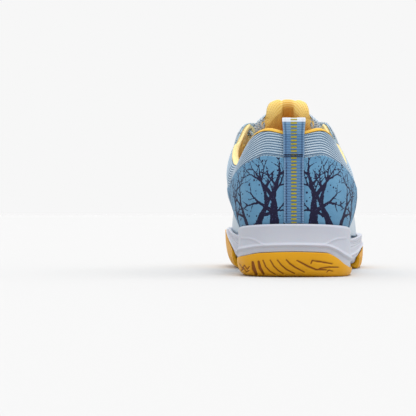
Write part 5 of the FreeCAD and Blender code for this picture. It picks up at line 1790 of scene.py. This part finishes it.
def build_floor():
    """A plain pale floor that runs to the horizon."""
    mesh = bpy.data.meshes.new("floor")
    size = 60.0
    corners = [(-size, -size, 0), (size, -size, 0), (size, size, 0), (-size, size, 0)]
    mesh.from_pydata(corners, [], [(0, 1, 2, 3)])
    g = Graph("studio_floor")
    grain = g.noise(g.solid(), 4.0, 2.0)
    grey = floor_grey()
    tone = g.mix(grain, (grey,) * 3 + (1.0,), (grey * 0.995,) * 3 + (1.0,))
    mesh.materials.append(g.finish(tone, 0.9))
    add_object("floor", mesh)


def add_sun(name, strength, azimuth, elevation, spread):
    """A soft light from a direction: azimuth 0 comes from behind the camera, 90 from the right."""
    data = bpy.data.lights.new(name, "SUN")
    data.energy, data.angle = strength, math.radians(spread)
    light = add_object(name, data)
    a, e = math.radians(azimuth), math.radians(elevation)
    toward = Vector((math.sin(a) * math.cos(e), -math.cos(a) * math.cos(e), math.sin(e)))
    light.rotation_euler = toward.to_track_quat("Z", "Y").to_euler()


# Each sun's name, strength, azimuth, elevation and spread
SUNS = [("key", 1.5, 20, 72, 30), ("side", 0.5, 105, 35, 40), ("front", 0.6, 200, 50, 50)]
SKY_LIGHT = 0.93
FLOOR_LIGHT = 0.93          # the floor's brightness, which the sky and the suns give together


def floor_grey():
    """The floor's own grey, which these lights bring up to its brightness."""
    suns = sum(sun[1] * math.sin(math.radians(sun[3])) for sun in SUNS)
    return FLOOR_LIGHT / (SKY_LIGHT + suns / math.pi)


def build_light():
    """An even pale sky and three soft suns."""
    world = bpy.data.worlds.new("studio")
    bpy.context.scene.world = world
    world.use_nodes = True
    backdrop = world.node_tree.nodes["Background"]
    backdrop.inputs[0].default_value = BACKGROUND
    backdrop.inputs[1].default_value = 1.0
    for name, strength, azimuth, elevation, spread in SUNS:
        add_sun(name, strength, azimuth, elevation, spread)


def build_camera():
    """The camera stands behind the heel, close to the floor."""
    data = bpy.data.cameras.new("camera")
    data.sensor_width, data.lens = SENSOR, LENS
    data.clip_start, data.clip_end = 0.05, 200.0
    camera = add_object("camera", data)
    camera.location = (0.0, -HALF_LENGTH * MM - CAMERA_DISTANCE, CAMERA_HEIGHT)
    camera.rotation_euler = (math.radians(90 + CAMERA_TILT), 0.0, math.radians(CAMERA_YAW))
    bpy.context.scene.camera = camera


def build_shoe():
    build_collar()
    for side in SIDES:
        build_quarter(side)
        build_heel_print(side)
        build_side_overlay(side)
        build_mudguard(side)
        build_eyestay(side)
        build_throat_backing(side)
        build_lace_loop(side)
    build_vamp()
    build_toe_cap()
    build_tongue()
    build_webbing()
    build_lace()
    build_aglets()
    build_pad("outsole_heel", 0.0, 4.72, 10.0, 20.0)
    build_pad("outsole_forefoot", 6.92, TOE, -10.0, 186.0)
    build_midsole()
    build_insides()


build_camera()
build_light()
build_floor()
bpy.context.scene.view_settings.view_transform = "Standard"
build_shoe()
